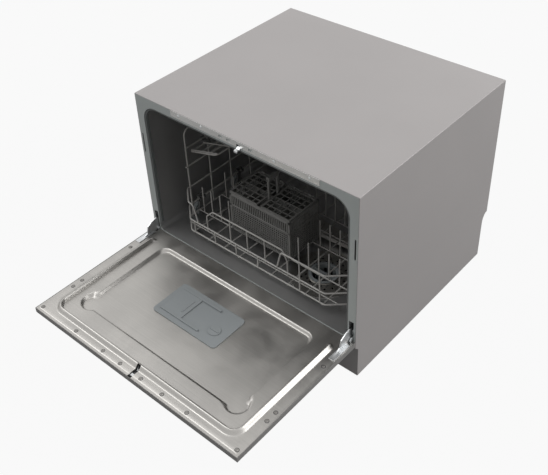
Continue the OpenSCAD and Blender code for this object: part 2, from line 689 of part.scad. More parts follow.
module dispenser_body() color("#3c3f42") on_door() difference() {
    union() {
        along_y(face_y, face_y + 2.5) translate([disp_x, 0])
            arch(disp_w / 2, disp_z - disp_h / 2, disp_z + disp_h / 2, 8, 8);
        block([disp_x - disp_w / 2 + 10.3, face_y - 19, disp_z - disp_h / 2 + 8.3],
            [disp_x + disp_w / 2 - 10.3, face_y, disp_z + disp_h / 2 - 8.3]);
        for (s = [0, 1]) translate([0, 0, disp_z]) mirror([0, 0, s]) {
            block([cup_x0 - 4, face_y + 2, lid_hz + fit],
                [cup_x0 + cup_w + 4 + lid_run, lid_y + 3, lid_hz + 3]);
            block([cup_x0 - 4, lid_y + 2.1, lid_hz - 2],
                [cup_x0 + cup_w + 4 + lid_run, lid_y + 3, lid_hz + 3]);
        }
    }
    block([cup_x0, face_y - 16, disp_z - 28], [cup_x0 + cup_w, 5, disp_z + 28]);
    rod_y(face_y - 16, 5, 9.2, cap_x, disp_z + 12);
}
cap_x = disp_x + disp_w / 2 - 30;
lid_y = face_y + 2.5 + fit;
lid_hz = 32;
lid_run = 50;
module dispenser_lid() color("#55595c") on_door() {
    along_y(lid_y, lid_y + 1.8) translate([cup_x0 + cup_w / 2, 0])
        arch(cup_w / 2 + 4, disp_z - lid_hz, disp_z + lid_hz, 4, 4);
    block([cup_x0 + cup_w - 8, lid_y + 1.8, disp_z - 18], [cup_x0 + cup_w - 5, lid_y + 3, disp_z + 18]);
}
module rinse_cap() color("#7a7e82") on_door() {
    rod_y(face_y - 10, lid_y + 0.2, 9, cap_x, disp_z + 12);
    rod_y(lid_y, lid_y + 1.5, 13, cap_x, disp_z + 12);
    block([cap_x - 10, lid_y + 1.5, disp_z + 10], [cap_x + 10, lid_y + 3.2, disp_z + 14]);
}
module button(i) color("#c7cacc") on_door() {
    rod_y(pan_face + sheet - fascia_t - 1, fascia_back + 2, button_r, button_x[i], button_z);
    rod_y(fascia_back + 1.8, fascia_back + 1.8 + flange_t, button_r + 2, button_x[i], button_z);
}
module button_power() button(0);
module button_program() button(1);
module button_delay() button(2);
module button_dry() button(3);
module button_start() button(4);
// ---- rack ----
ring_z = floor_z + base_up;
base_step = 44;
low_z = ring_z + wire_d / 2 - 1.5 * thin_d + 0.4;
base_top = ring_z + wire_d / 2;
mid_z = ring_z + mid_up;
side_y = cham_y + 4;
row_y = [18, 60, 130, 172, 215, 300, 345];
wheel_y = [69, 193, 317];
function front_path(z) = [[-rack_x, side_y, z], [-rack_x, cham_y, z], [cham_x - rack_x, 0, z],
    [rack_x - cham_x, 0, z], [rack_x, cham_y, z], [rack_x, side_y, z]];
module rack_base() color(coat) on_rack() {
    path([[-rack_x, rack_d, ring_z], [-rack_x, cham_y, ring_z], [cham_x - rack_x, 0, ring_z],
        [rack_x - cham_x, 0, ring_z], [rack_x, cham_y, ring_z], [rack_x, rack_d, ring_z]]);
    wire([-rack_x, rack_d, ring_z], [rack_x, rack_d, ring_z], wire_d / 2);
    for (i = [-4 : 4]) let (x = i * base_step)
        wire([x, 0, low_z], [x, rack_d, low_z], thin_d * 0.3, thin_d);
    for (y = row_y) {
        x = y < cham_y ? rack_x - cham_x * (1 - y / cham_y) : rack_x;
        wire([-x, y, ring_z + (wire_d - thin_d) / 2], [x, y, ring_z + (wire_d - thin_d) / 2], 0, thin_d);
    }
}
step_x = 62;
step_w = 12;
left_step = 24;
module rack_front() color(coat) on_rack() {
    path(front_path(mid_z));
    z1 = ring_z + right_up;
    for (s = [0, 1]) mirror([s, 0, 0]) let (x = s == 0 ? step_x : rack_x - cham_x - left_step)
        path([[x, 0, mid_z], [x + step_w, 0, z1], [rack_x - cham_x, 0, z1],
            [rack_x, cham_y, z1], [rack_x, side_y, z1]]);
    for (x = [cham_x - rack_x + 12, -110, -50, 10])
        wire([x, 0, base_top], [x, 0, mid_z], 0, thin_d);
    for (x = [120, rack_x - cham_x - 12]) wire([x, 0, base_top], [x, 0, z1], 0, thin_d);
}
module rack_rear() color(coat) on_rack() {
    x = rack_x - wire_d / 2;
    z1 = ring_z + right_up;
    for (z = [mid_z, z1]) wire([-x, rack_d, z], [x, rack_d, z]);
    for (i = [-3 : 3]) wire([i * 60, rack_d, base_top], [i * 60, rack_d, z1], 0, thin_d);
}
module rack_side(x, rails, posts, top) {
    for (z = rails) wire([x, side_y, z], [x, rack_d, z]);
    for (y = posts) wire([x, y, base_top], [x, y, top], 0, thin_d);
}
left_posts = [side_y + 4, 104, 228, rack_d - 2];
module rack_sides() color(coat) on_rack() {
    z1 = ring_z + right_up;
    z2 = ring_z + left_up;
    z3 = ring_z + back_up;
    rack_side(rack_x, [mid_z, z1], [side_y + 4, 104, 162, 228, 286, rack_d - 2], z1);
    rack_side(-rack_x, [mid_z, z1, z2], concat(left_posts, [166, 282, 330]), z2);
    for (y = left_posts) wire([-rack_x, y, z2], [-rack_x, y, z3], 0, thin_d);
    wire([-rack_x, side_y + 4, z3], [-rack_x, rack_d - 2, z3], wire_d / 2);
    wire([-rack_x, side_y + 4, (z2 + z3) / 2], [-rack_x, rack_d - 2, (z2 + z3) / 2]);
}
module tine_row(y, x0, n) for (i = [0 : n - 1])
    wire([x0 + i * tine_pitch, y, base_top], [x0 + i * tine_pitch, y, base_top + tine_h], 0, 3);
module plate_tines() color(coat) on_rack() {
    for (y = [row_y[1], row_y[2]]) {
        tine_row(y, rack_x - 20 - 5 * tine_pitch, 6);
        tine_row(y, 16 - rack_x, 4);
    }
    for (y = [row_y[4], row_y[5]]) tine_row(y, rack_x - 20 - 9 * tine_pitch, 10);
}
module basket_rail() color(coat) on_rack() {
    z1 = ring_z + 62;
    y = row_y[0];
    x0 = basket_x - 16;
    x1 = basket_x + basket_w + 12;
    path([[x0 - 20, y, base_top], [x0 - 20, y, z1 - 20], [x0, y, z1], [x1, y, z1],
        [x1 + 12, y, z1 - 24], [x1 + 12, y, base_top]]);
    for (i = [1 : 3]) let (x = x0 + i * (x1 - x0) / 4)
        wire([x, y, base_top], [x, y, z1], 0, thin_d);
}
wheel_z = floor_z + 0.3 + wheel_r;
clip_x = rack_x + wire_d / 2;
wheel_x = clip_x + 8.5;
module wheel_clips() color("#6f7375") on_rack() both() for (y = wheel_y) {
    block([clip_x, y - 11, wheel_z - 6], [clip_x + 4, y + 11, mid_z + 8]);
    block([clip_x - 7, y - 9, mid_z + wire_d / 2], [clip_x + 1, y + 9, mid_z + wire_d / 2 + 3]);
    rod_x(clip_x + 3, wheel_x + wheel_w + 1.6, axle_r, y, wheel_z);
    rod_x(clip_x + 3, wheel_x - 0.8, axle_r + 3, y, wheel_z);
    rod_x(wheel_x + wheel_w + 0.4, wheel_x + wheel_w + 2, axle_r + 1.5, y, wheel_z);
}
module wheel_pair(i) color("#85898b") on_rack() both()
    translate([wheel_x, wheel_y[i], wheel_z]) rotate([0, 90, 0]) difference() {
        cylinder(r = wheel_r, h = wheel_w);
        translate([0, 0, -1]) cylinder(r = axle_r + 0.08, h = wheel_w + 2);
        for (a = [0 : 60 : 300]) rotate([0, 0, a]) translate([(wheel_r + axle_r) / 2 + 0.4, 0, -1])
            cylinder(r = 2.4, h = wheel_w + 2);
        translate([0, 0, wheel_w - 2]) difference() {
            cylinder(r = wheel_r - 1.8, h = 3);
            translate([0, 0, -1]) cylinder(r = axle_r + 2, h = 5);
        }
    }
module wheels_front() wheel_pair(0);
module wheels_middle() wheel_pair(1);
module wheels_rear() wheel_pair(2);
// ---- cutlery basket ----
basket_z = base_top + fit;
basket_mid = basket_x + basket_w / 2;
module cutlery_basket() color("#74787a") on_rack() translate([basket_x, basket_y, basket_z]) {
    t = basket_t;
    nx = 13;
    ny = 7;
    px = (basket_w - 10) / nx;
    py = (basket_d - 10) / ny;
    difference() {
        block([0, 0, 0], [basket_w, basket_d, basket_h]);
        for (i = [0 : 3]) {
            w = (basket_w - 5 * t) / 4;
            for (j = [0, 1]) {
                d = (basket_d - 3 * t) / 2;
                translate([t + i * (w + t), t + j * (d + t), t]) cube([w, d, basket_h]);
            }
        }
        for (i = [0 : nx - 1]) for (k = [0 : 2])
            block([6 + i * px, -1, 8 + k * 26], [6 + i * px + px - 2.4, t + 0.5, 30 + k * 26]);
        for (i = [0 : nx - 1]) for (k = [0 : 2])
            block([6 + i * px, basket_d - t - 0.5, 8 + k * 26],
                [6 + i * px + px - 2.4, basket_d + 1, 30 + k * 26]);
        for (j = [0 : ny - 1]) for (k = [0 : 2])
            block([-1, 6 + j * py, 8 + k * 26], [basket_w + 1, 6 + j * py + py - 2.4, 30 + k * 26]);
    }
    lid_lugs();
    for (s = [0, 1]) translate([basket_w / 2 - 1.2 - t / 2, basket_d / 2 - 16 + s * 27, basket_h - 20])
        cube([t + 2.4, 5, grip_h + 20]);
    translate([basket_w / 2 - 1.2 - t / 2 - 2, basket_d / 2 - 16, basket_h + grip_h - 5])
        cube([t + 6.4, 32, 7]);
}
lid_t = 2.4;
pivot_y = basket_d - 2.2;
rod_r = 1.4;
lug_x = [14, 56];
module basket_lid() {
    w = basket_w / 2 - 6;
    d = pivot_y - 4;
    nx = (w - 3) / 5;
    ny = (d - 3) / 6;
    difference() {
        block([0, 1, 0], [w, d, lid_t]);
        for (i = [0 : 4]) for (j = [0 : 5])
            block([3 + i * nx, 3 + j * ny, -1], [i * nx + nx, j * ny + ny, lid_t + 1]);
    }
    rod_x(3, w - 3, rod_r, pivot_y, lid_t / 2 + 0.2);
    for (x = [3, w / 2 - 3, w - 9]) block([x, d - 1, 0.3], [x + 6, pivot_y, lid_t]);
}
module lid_lugs() for (x0 = [1, basket_w / 2 + 5]) for (x = lug_x) difference() {
    union() {
        block([x0 + x - 3, basket_d - basket_t, basket_h - 6], [x0 + x + 3, basket_d, basket_h + 2]);
        rod_x(x0 + x - 3, x0 + x + 3, rod_r + 1.6, pivot_y, basket_h + fit + lid_t / 2 + 0.2);
    }
    rod_x(x0 + x - 4, x0 + x + 4, rod_r + 0.1, pivot_y, basket_h + fit + lid_t / 2 + 0.2);
}
module at_lid(x) on_rack() translate([basket_x + x, basket_y, basket_z + basket_h + fit]) children();
module basket_lid_left() color("#6c7072") at_lid(1) basket_lid();
module basket_lid_right() color("#6c7072") at_lid(basket_w / 2 + 5) basket_lid();
// ---- cup shelf ----
shelf_x = -rack_x + 12;
shelf_z = ring_z + shelf_up;
shelf_y0 = side_y + 10;
shelf_y1 = rack_d - 20;
clip_y = [92, 203, 306];
cross_up = (wire_d + thin_d) / 2 - 0.8;
module cup_shelf() color(coat) on_rack() {
    translate([shelf_x, 0, shelf_z]) rotate([0, -shelf_tilt, 0]) {
        rod_y(shelf_y0, shelf_y1, wire_d / 2, 0, 0);
        for (x = [shelf_w * 0.35, shelf_w * 0.7, shelf_w]) wire([x, shelf_y0, 0], [x, shelf_y1, 0]);
        n = 9;
        for (i = [0 : n]) let (y = shelf_y0 + 2 + i * (shelf_y1 - shelf_y0 - 4) / n)
            wire([-thin_d * 0.2, y, cross_up], [shelf_w + thin_d * 0.4, y, cross_up], 0, thin_d);
    }
}
module shelf_clips() color("#63686a") on_rack() for (y = clip_y) {
    z2 = ring_z + (left_up + back_up) / 2;
    difference() {
        union() {
            rod_y(y - 5, y + 5, 5.5, shelf_x, shelf_z);
            block([-rack_x - 4, y - 5, shelf_z - 4], [shelf_x, y + 5, shelf_z + 1]);
            block([-rack_x - 4, y - 5, shelf_z - 4], [-rack_x - 1.8, y + 5, z2 + 4]);
        }
        rod_y(y - 6, y + 6, wire_d / 2 + 0.1, shelf_x, shelf_z);
    }
}

top_panel();
side_panel_left();
side_panel_right();
rear_panel();
front_frame();
latch_strip();
kick_panel();
base_pan();
feet();
tub();
tub_floor();
tub_back_wall();
tub_seal();
hinge_brackets();
door_springs();
latch_housing();
latch_hook();
sump();
flat_filter();
filter_cup();
spray_bearing();
spray_arm();
wash_pump();
drain_pump();
heater();
inlet_valve();
drain_spigot();
cord_gland();
door_panel();
door_liner();
door_strike();
door_arms();
door_screws();
fascia();
display_window();
control_board();
handle_cup();
dispenser_body();
dispenser_lid();
rinse_cap();
button_power();
button_program();
button_delay();
button_dry();
button_start();
rack_base();
rack_front();
rack_rear();
rack_sides();
plate_tines();
basket_rail();
wheel_clips();
wheels_front();
wheels_middle();
wheels_rear();
cutlery_basket();
basket_lid_left();
basket_lid_right();
cup_shelf();
shelf_clips();
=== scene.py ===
"""Looks of a countertop dishwasher: a grey case, a drop-down door and a pull-out wire rack.

Metres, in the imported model's own frame. Lengths in the classes are millimetres, as a
maker's drawing gives them, and at() and door_at() turn them into the model's metres.
"""
from __future__ import annotations

import json
import logging
import math
from dataclasses import dataclass, field
from enum import Enum
from typing import Callable, Iterable, Sequence

import bmesh
import bpy
import numpy as np
from mathutils import Matrix, Vector

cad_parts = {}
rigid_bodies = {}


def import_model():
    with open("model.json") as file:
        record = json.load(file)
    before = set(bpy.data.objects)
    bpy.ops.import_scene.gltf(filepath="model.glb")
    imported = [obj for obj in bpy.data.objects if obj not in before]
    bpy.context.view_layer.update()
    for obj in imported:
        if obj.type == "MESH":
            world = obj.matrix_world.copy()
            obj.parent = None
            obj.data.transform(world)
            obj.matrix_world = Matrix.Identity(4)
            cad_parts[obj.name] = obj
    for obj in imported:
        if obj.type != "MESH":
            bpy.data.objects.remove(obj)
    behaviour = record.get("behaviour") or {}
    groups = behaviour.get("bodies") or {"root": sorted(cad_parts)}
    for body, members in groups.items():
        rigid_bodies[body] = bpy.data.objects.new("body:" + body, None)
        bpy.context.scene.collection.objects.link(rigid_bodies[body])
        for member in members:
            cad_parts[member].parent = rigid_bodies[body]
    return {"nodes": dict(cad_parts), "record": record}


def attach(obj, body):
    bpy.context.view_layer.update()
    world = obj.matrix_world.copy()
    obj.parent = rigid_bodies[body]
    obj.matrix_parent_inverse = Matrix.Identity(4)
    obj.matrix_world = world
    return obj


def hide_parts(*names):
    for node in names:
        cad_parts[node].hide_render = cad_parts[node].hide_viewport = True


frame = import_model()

LOG = logging.getLogger("dishwasher")
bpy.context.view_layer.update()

MM = 0.001
Y_MID = 77.5
RACK_Y = 25.0
HINGE_Z = 111.0
Point = tuple[float, float, float]
Line = Sequence[Point]
Wires = tuple[list[Line], float, float, bool]


def at(x: float, y: float, z: float) -> Vector:
    """Machine millimetres, y from the front frame backwards, as metres in the model's frame."""
    return Vector((x * MM, (y - Y_MID) * MM, z * MM))


def rack_at(x: float, y: float, z: float) -> Vector:
    """Rack millimetres, y from the rack's front backwards, as metres with the rack pushed in."""
    return at(x, y + RACK_Y, z)


def door_at(x: float, y: float, z: float) -> Vector:
    """Door millimetres as if closed, y outward negative and z up the door, laid open as it rests."""
    return at(x, -z, HINGE_Z + y)


# ---- node trees ----


class Term:
    """A node's output socket that Python's operators work on."""

    def __init__(self, graph: "Graph", socket: bpy.types.NodeSocket) -> None:
        """Keep the graph and the socket."""
        self.graph = graph
        self.socket = socket

    def _math(self, kind: str, first: "Term | float", second: "Term | float" = 0.0) -> "Term":
        """Add one Math node of a kind on two values."""
        return self.graph.add("ShaderNodeMath", {"operation": kind}, {0: first, 1: second})

    def __add__(self, other: "Term | float") -> "Term":
        """Sum."""
        return self._math("ADD", self, other)

    def __sub__(self, other: "Term | float") -> "Term":
        """Difference."""
        return self._math("SUBTRACT", self, other)

    def __rsub__(self, other: float) -> "Term":
        """Difference from a number."""
        return self._math("SUBTRACT", other, self)

    def __mul__(self, other: "Term | float") -> "Term":
        """Product."""
        return self._math("MULTIPLY", self, other)

    def __truediv__(self, other: "Term | float") -> "Term":
        """Quotient."""
        return self._math("DIVIDE", self, other)

    __radd__ = __add__
    __rmul__ = __mul__

    def spread(self, low: float, high: float, to_low: float = 0.0, to_high: float = 1.0) -> "Term":
        """Map a range of the value to another, held at its ends.

        Args:
            low: Value that becomes to_low.
            high: Value that becomes to_high.
            to_low: Result at low.
            to_high: Result at high.

        Returns:
            The mapped value.
        """
        return self.graph.add("ShaderNodeMapRange", {"clamp": True},
                              {"Value": self, "From Min": low, "From Max": high,
                               "To Min": to_low, "To Max": to_high})


class Graph:
    """A node tree that one method fills."""

    def __init__(self, tree: bpy.types.NodeTree) -> None:
        """Empty the tree and keep it."""
        self.tree = tree
        tree.nodes.clear()

    def node(self, kind: str, settings: dict | None = None, inputs: dict | None = None) -> bpy.types.Node:
        """Add a node of any type.

        Args:
            kind: The node's type.
            settings: Its properties, set before its sockets.
            inputs: Values or links of its sockets, by name or number.

        Returns:
            The node.
        """
        made = self.tree.nodes.new(kind)
        for name, value in (settings or {}).items():
            setattr(made, name, value)
        for name, value in (inputs or {}).items():
            socket = made.inputs[name]
            if isinstance(value, Term):
                self.tree.links.new(value.socket, socket)
            elif isinstance(value, (tuple, list)) and len(socket.default_value) == 4:
                socket.default_value = (*value[:3], 1.0)
            else:
                socket.default_value = value
        return made

    def add(self, kind: str, settings: dict | None = None, inputs: dict | None = None,
            out: int | str = 0) -> Term:
        """Add a node and give one of its outputs as a Term."""
        return Term(self, self.node(kind, settings, inputs).outputs[out])

    def xyz(self, x: Term | float = 0.0, y: Term | float = 0.0, z: Term | float = 0.0) -> Term:
        """A vector of three values."""
        return self.add("ShaderNodeCombineXYZ", None, {0: x, 1: y, 2: z})

    def seen(self, glossy: float) -> Term:
        """One to the camera and through glass, a share of it in reflections, else nought."""
        path = self.node("ShaderNodeLightPath")
        return (Term(self, path.outputs["Is Camera Ray"]) + Term(self, path.outputs["Is Transmission Ray"])
                + Term(self, path.outputs["Is Glossy Ray"]) * glossy)


class Skin(Graph):
    """The shader tree of one material."""

    def __init__(self, name: str) -> None:
        """Make the material and its output."""
        self.material = bpy.data.materials.new(name)
        self.material.use_nodes = True
        super().__init__(self.material.node_tree)
        self.coords = self.add("ShaderNodeTexCoord", out="Object")

    def noise(self, scale: float | Point, detail: float = 2.0, rough: float = 0.5,
              warp: float = 0.0) -> Term:
        """Noise on the piece's own coordinates.

        Args:
            scale: Waves per metre, one number or one for each axis.
            detail: Octaves.
            rough: Strength of the finer octaves.
            warp: Distortion.

        Returns:
            The noise, from about 0.25 to 0.75.
        """
        axes = scale if isinstance(scale, tuple) else (scale, scale, scale)
        place = self.add("ShaderNodeMapping", None, {"Vector": self.coords, "Scale": axes})
        return self.add("ShaderNodeTexNoise", None,
                        {"Vector": place, "Scale": 1.0, "Detail": detail, "Roughness": rough,
                         "Distortion": warp}, "Fac")

    def cells(self, scale: float, out: str = "Distance") -> Term:
        """Cell pattern on the piece's own coordinates."""
        return self.add("ShaderNodeTexVoronoi", None, {"Vector": self.coords, "Scale": scale}, out)

    def tint(self, mask: Term | float, first: "Term | Point", second: "Term | Point") -> Term:
        """Blend two colours by a mask."""
        return self.add("ShaderNodeMix", {"data_type": "RGBA"}, {0: mask, 6: first, 7: second}, 2)

    def bump(self, height: Term, depth: float) -> Term:
        """The normal of a relief with a height from 0 to 1 and a depth in metres."""
        return self.add("ShaderNodeBump", None, {"Strength": 1.0, "Distance": depth, "Height": height})

    def close(self, inputs: dict) -> bpy.types.Material:
        """Set the Principled shader's sockets and end the tree."""
        shader = self.add("ShaderNodeBsdfPrincipled", None, inputs)
        self.node("ShaderNodeOutputMaterial", None, {"Surface": shader})
        return self.material


# ---- finishes ----


def shades(colour: Point, dark: float, pale: float) -> tuple[Point, Point]:
    """A colour darkened and paled by two factors."""
    return tuple(c * dark for c in colour), tuple(min(c * pale, 1.0) for c in colour)


@dataclass(frozen=True)
class PowderCoat:
    """Satin powder coat on sheet steel, with a fine metallic flake and orange peel."""

    name: str
    colour: Point
    rough: float = 0.42
    peel: float = 0.00003

    def build(self) -> bpy.types.Material:
        """Make the material."""
        skin = Skin(self.name)
        flake = skin.noise(5200.0, 1.0).spread(0.35, 0.7)
        cloud = skin.noise(5.0, 3.0).spread(0.3, 0.7)
        dark, pale = shades(self.colour, 0.93, 1.05)
        colour = skin.tint(flake * 0.5 + cloud * 0.5, dark, pale)
        peel = skin.noise(700.0, 2.0)
        return skin.close({"Base Color": colour, "Metallic": 0.08,
                           "Roughness": cloud.spread(0, 1, self.rough - 0.03, self.rough + 0.05),
                           "Normal": skin.bump(peel, self.peel)})


class Grain(Enum):
    """Direction in which a steel sheet was brushed."""

    ACROSS = (6.0, 900.0, 900.0)
    ALONG = (900.0, 6.0, 900.0)


@dataclass(frozen=True)
class BrushedSteel:
    """Stainless sheet with hair lines, faint smears and water marks."""

    name: str
    colour: Point
    grain: Grain = Grain.ACROSS
    rough: float = 0.28
    lines: float = 0.000012

    def build(self) -> bpy.types.Material:
        """Make the material."""
        skin = Skin(self.name)
        hair = skin.noise(self.grain.value, 3.0, 0.7)
        smear = skin.noise(9.0, 4.0, 0.6, 0.6).spread(0.35, 0.68)
        spots = 1.0 - skin.cells(95.0).spread(0.05, 0.16)
        marks = spots * skin.noise(14.0, 2.0).spread(0.55, 0.7)
        dark, pale = shades(self.colour, 0.86, 1.08)
        colour = skin.tint(hair.spread(0.3, 0.7) * 0.6 + smear * 0.4, dark, pale)
        rough = smear.spread(0, 1, self.rough - 0.05, self.rough + 0.1) + marks * 0.08
        return skin.close({"Base Color": colour, "Metallic": 1.0, "Roughness": rough,
                           "Normal": skin.bump(hair, self.lines)})


@dataclass(frozen=True)
class ZincPlate:
    """Bright zinc plating with a soft spangle."""

    name: str
    colour: Point = (0.5, 0.51, 0.52)
    rough: float = 0.3

    def build(self) -> bpy.types.Material:
        """Make the material."""
        skin = Skin(self.name)
        spangle = skin.cells(160.0, "Color")
        tone = skin.add("ShaderNodeSeparateXYZ", None, {0: spangle}, "X")
        fog = skin.noise(40.0, 3.0).spread(0.3, 0.7)
        dark, pale = shades(self.colour, 0.82, 1.12)
        colour = skin.tint(tone * 0.5 + fog * 0.5, dark, pale)
        return skin.close({"Base Color": colour, "Metallic": 0.9,
                           "Roughness": fog.spread(0, 1, self.rough, self.rough + 0.15),
                           "Normal": skin.bump(fog, 0.00003)})


@dataclass(frozen=True)
class NylonCoat:
    """Dipped nylon over steel wire, slightly uneven and satin."""

    name: str
    colour: Point = (0.37, 0.362, 0.345)

    def build(self) -> bpy.types.Material:
        """Make the material."""
        skin = Skin(self.name)
        drip = skin.noise(120.0, 3.0)
        fog = skin.noise(22.0, 2.0).spread(0.3, 0.7)
        dark, pale = shades(self.colour, 0.88, 1.12)
        return skin.close({"Base Color": skin.tint(fog, dark, pale),
                           "Roughness": drip.spread(0.3, 0.7, 0.34, 0.5),
                           "Normal": skin.bump(drip, 0.00012)})


@dataclass(frozen=True)
class Moulded:
    """Injection-moulded plastic with a fine spark-eroded grain."""

    name: str
    colour: Point
    rough: float = 0.48
    grain: float = 0.00004

    def build(self) -> bpy.types.Material:
        """Make the material."""
        skin = Skin(self.name)
        texture = skin.noise(2400.0, 2.0, 0.6)
        flow = skin.noise(18.0, 3.0).spread(0.3, 0.7)
        dark, pale = shades(self.colour, 0.9, 1.1)
        return skin.close({"Base Color": skin.tint(flow, dark, pale),
                           "Roughness": texture.spread(0.3, 0.7, self.rough - 0.06, self.rough + 0.06),
                           "Normal": skin.bump(texture, self.grain)})


@dataclass(frozen=True)
class Rubber:
    """Black moulded rubber, dull, with dust in its pores."""

    name: str
    colour: Point = (0.035, 0.036, 0.037)

    def build(self) -> bpy.types.Material:
        """Make the material."""
        skin = Skin(self.name)
        pores = skin.noise(1500.0, 3.0, 0.7)
        dust = skin.noise(60.0, 4.0).spread(0.45, 0.75)
        pale = tuple(c * 2.2 + 0.01 for c in self.colour)
        return skin.close({"Base Color": skin.tint(dust * 0.5, self.colour, pale),
                           "Roughness": dust.spread(0, 1, 0.62, 0.85),
                           "Normal": skin.bump(pores, 0.00006)})


@dataclass(frozen=True)
class Gloss:
    """Polished plastic under a clear coat, with faint wiping marks."""

    name: str
    colour: Point
    rough: float = 0.12

    def build(self) -> bpy.types.Material:
        """Make the material."""
        skin = Skin(self.name)
        wipe = skin.noise((14.0, 90.0, 90.0), 3.0).spread(0.4, 0.7)
        pale = tuple(min(c * 1.15 + 0.004, 1.0) for c in self.colour)
        return skin.close({"Base Color": skin.tint(wipe, self.colour, pale),
                           "Roughness": wipe.spread(0, 1, self.rough, self.rough + 0.1),
                           "Coat Weight": 0.5,
                           "Normal": skin.bump(wipe, 0.000004)})


@dataclass(frozen=True)
class Lit:
    """A lit segment behind the display, slightly uneven."""

    name: str
    colour: Point

    def build(self) -> bpy.types.Material:
        """Make the material."""
        skin = Skin(self.name)
        uneven = skin.noise(400.0, 2.0).spread(0.3, 0.7)
        glow = skin.tint(uneven, tuple(c * 0.8 for c in self.colour), self.colour)
        return skin.close({"Base Color": glow, "Roughness": uneven.spread(0, 1, 0.3, 0.4),
                           "Emission Color": glow, "Emission Strength": 0.8})


class Finish(Enum):
    """Every finish of the machine, with the material slot that it stands for."""

    CASE = PowderCoat("case_coat", (0.355, 0.337, 0.333)), "case"
    # Door coat darker than the case: partly the door's own darker coat, partly painted shade for its edges that
    # face away from the lamps.
    DOOR_COAT_AND_SHADE = PowderCoat("door_coat_and_painted_shade", (0.215, 0.209, 0.202)), "case"
    FRAME = PowderCoat("frame_coat", (0.4, 0.428, 0.42), 0.4), "frame"
    STEEL = BrushedSteel("door_steel", (0.455, 0.442, 0.421), rough=0.41), "stainless"
    # Tub steel coloured near black: painted shade for the dim inside of the tub, not the colour of the bright
    # stainless.
    TUB = BrushedSteel("tub_steel", (0.075, 0.077, 0.075), Grain.ALONG, 0.4), "tub_steel"
    BRIGHT = BrushedSteel("bright_steel", (0.66, 0.655, 0.64), Grain.ACROSS, 0.2), "bright"
    ZINC = ZincPlate("zinc"), "zinc"
    SCREW = ZincPlate("screw_steel", (0.3, 0.29, 0.275), 0.35), "bright"
    WIRE = NylonCoat("wire_coat"), "grey_wire"
    BASKET = Moulded("basket_plastic", (0.165, 0.163, 0.156)), "grey_plastic"
    GREY = Moulded("grey_plastic", (0.17, 0.17, 0.166)), "grey_plastic"
    CLIP = Moulded("clip_plastic", (0.1, 0.101, 0.1)), "grey_plastic"
    DARK = Moulded("dark_plastic", (0.022, 0.023, 0.025)), "dark_plastic"
    PALE = Moulded("pale_plastic", (0.6, 0.6, 0.575), 0.4), "pale_plastic"
    SEAL = Rubber("seal_rubber", (0.02, 0.021, 0.022)), "seal_rubber"
    FOOT = Rubber("foot_rubber"), "foot_rubber"
    BLACK = Gloss("black_gloss", (0.012, 0.012, 0.014)), "gloss_black"
    SILVER = Gloss("button_silver", (0.5, 0.51, 0.52), 0.25), "button_silver"
    BOARD = Gloss("board_green", (0.015, 0.09, 0.035), 0.3), "board"
    LIT = Lit("lit_segment", (0.55, 0.75, 0.9)), "pale_plastic"

    def material(self) -> bpy.types.Material:
        """The finish's material, made once."""
        look = self.value[0]
        return bpy.data.materials.get(look.name) or look.build()


# ---- making pieces ----


def link(mesh: bpy.types.Mesh, name: str) -> bpy.types.Object:
    """Put a mesh in the scene as an object at the origin."""
    piece = bpy.data.objects.new(name, mesh)
    bpy.context.scene.collection.objects.link(piece)
    return piece


def settle(piece: bpy.types.Object) -> None:
    """Turn a piece's modifiers into its mesh."""
    graph = bpy.context.evaluated_depsgraph_get()
    graph.update()
    mesh = bpy.data.meshes.new_from_object(piece.evaluated_get(graph), depsgraph=graph)
    piece.modifiers.clear()
    piece.data = mesh


def place(piece: bpy.types.Object, body: str, finish: Finish | None, nodes: Iterable[str] = ()) -> None:
    """Finish a piece: its material, its body and the nodes that it stands for.

    Args:
        piece: The object, with its place in its mesh.
        body: The body that it rides on.
        finish: Its finish, or None where its mesh has its materials already.
        nodes: The CAD nodes that it replaces.
    """
    if finish is not None:
        piece.data.materials.clear()
        piece.data.materials.append(finish.material())
    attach(piece, body)
    names = list(nodes)
    if names:
        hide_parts(*names)
    LOG.info("%s: %d faces on %s", piece.name, len(piece.data.polygons), body)


def mesh_of(points: Sequence, faces: Sequence, name: str) -> bpy.types.Mesh:
    """A mesh from points in metres and faces."""
    mesh = bpy.data.meshes.new(name)
    mesh.from_pydata([tuple(p) for p in points], [], [tuple(int(i) for i in f) for f in faces])
    mesh.update()
    return mesh


def body_of(node: str) -> str:
    """The body that a node rides on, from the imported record."""
    bodies = frame["record"]["behaviour"]["bodies"]
    return next(name for name, nodes in bodies.items() if node in nodes)


def merged(node: str) -> bpy.types.Mesh:
    """A copy of a CAD node's mesh with its loose triangles joined and its flats made whole."""
    mesh = frame["nodes"][node].data.copy()
    work = bmesh.new()
    work.from_mesh(mesh)
    bmesh.ops.remove_doubles(work, verts=work.verts, dist=2e-6)
    bmesh.ops.dissolve_limit(work, angle_limit=math.radians(0.6), verts=work.verts, edges=work.edges)
    for face in work.faces:
        face.material_index = 0
    work.to_mesh(mesh)
    work.free()
    if "custom_normal" in mesh.attributes:
        mesh.attributes.remove(mesh.attributes["custom_normal"])
    return mesh


def ease_edges(piece: bpy.types.Object, width: float, turns: int) -> None:
    """Round a piece's sharp edges.

    Args:
        piece: The object.
        width: Width of the easing in millimetres.
        turns: Faces across an eased edge.
    """
    piece.data.shade_smooth()
    bevel = piece.modifiers.new("ease", "BEVEL")
    bevel.width = width * MM
    bevel.segments = turns
    bevel.limit_method = "ANGLE"
    bevel.angle_limit = math.radians(32)
    bevel.harden_normals = True
    settle(piece)


def eased(node: str, finish: Finish, width: float) -> None:
    """A CAD node again with its edges eased, held within the node's own box.

    Args:
        node: The node.
        finish: Its finish.
        width: Width of the easing in millimetres.
    """
    piece = link(merged(node), f"{node}_eased")
    ease_edges(piece, width, 2)
    spots = np.array([vert.co for vert in frame["nodes"][node].data.vertices])
    low, high = spots.min(0), spots.max(0)
    for vert in piece.data.vertices:
        vert.co = np.clip(vert.co, low, high)
    place(piece, body_of(node), finish, [node])


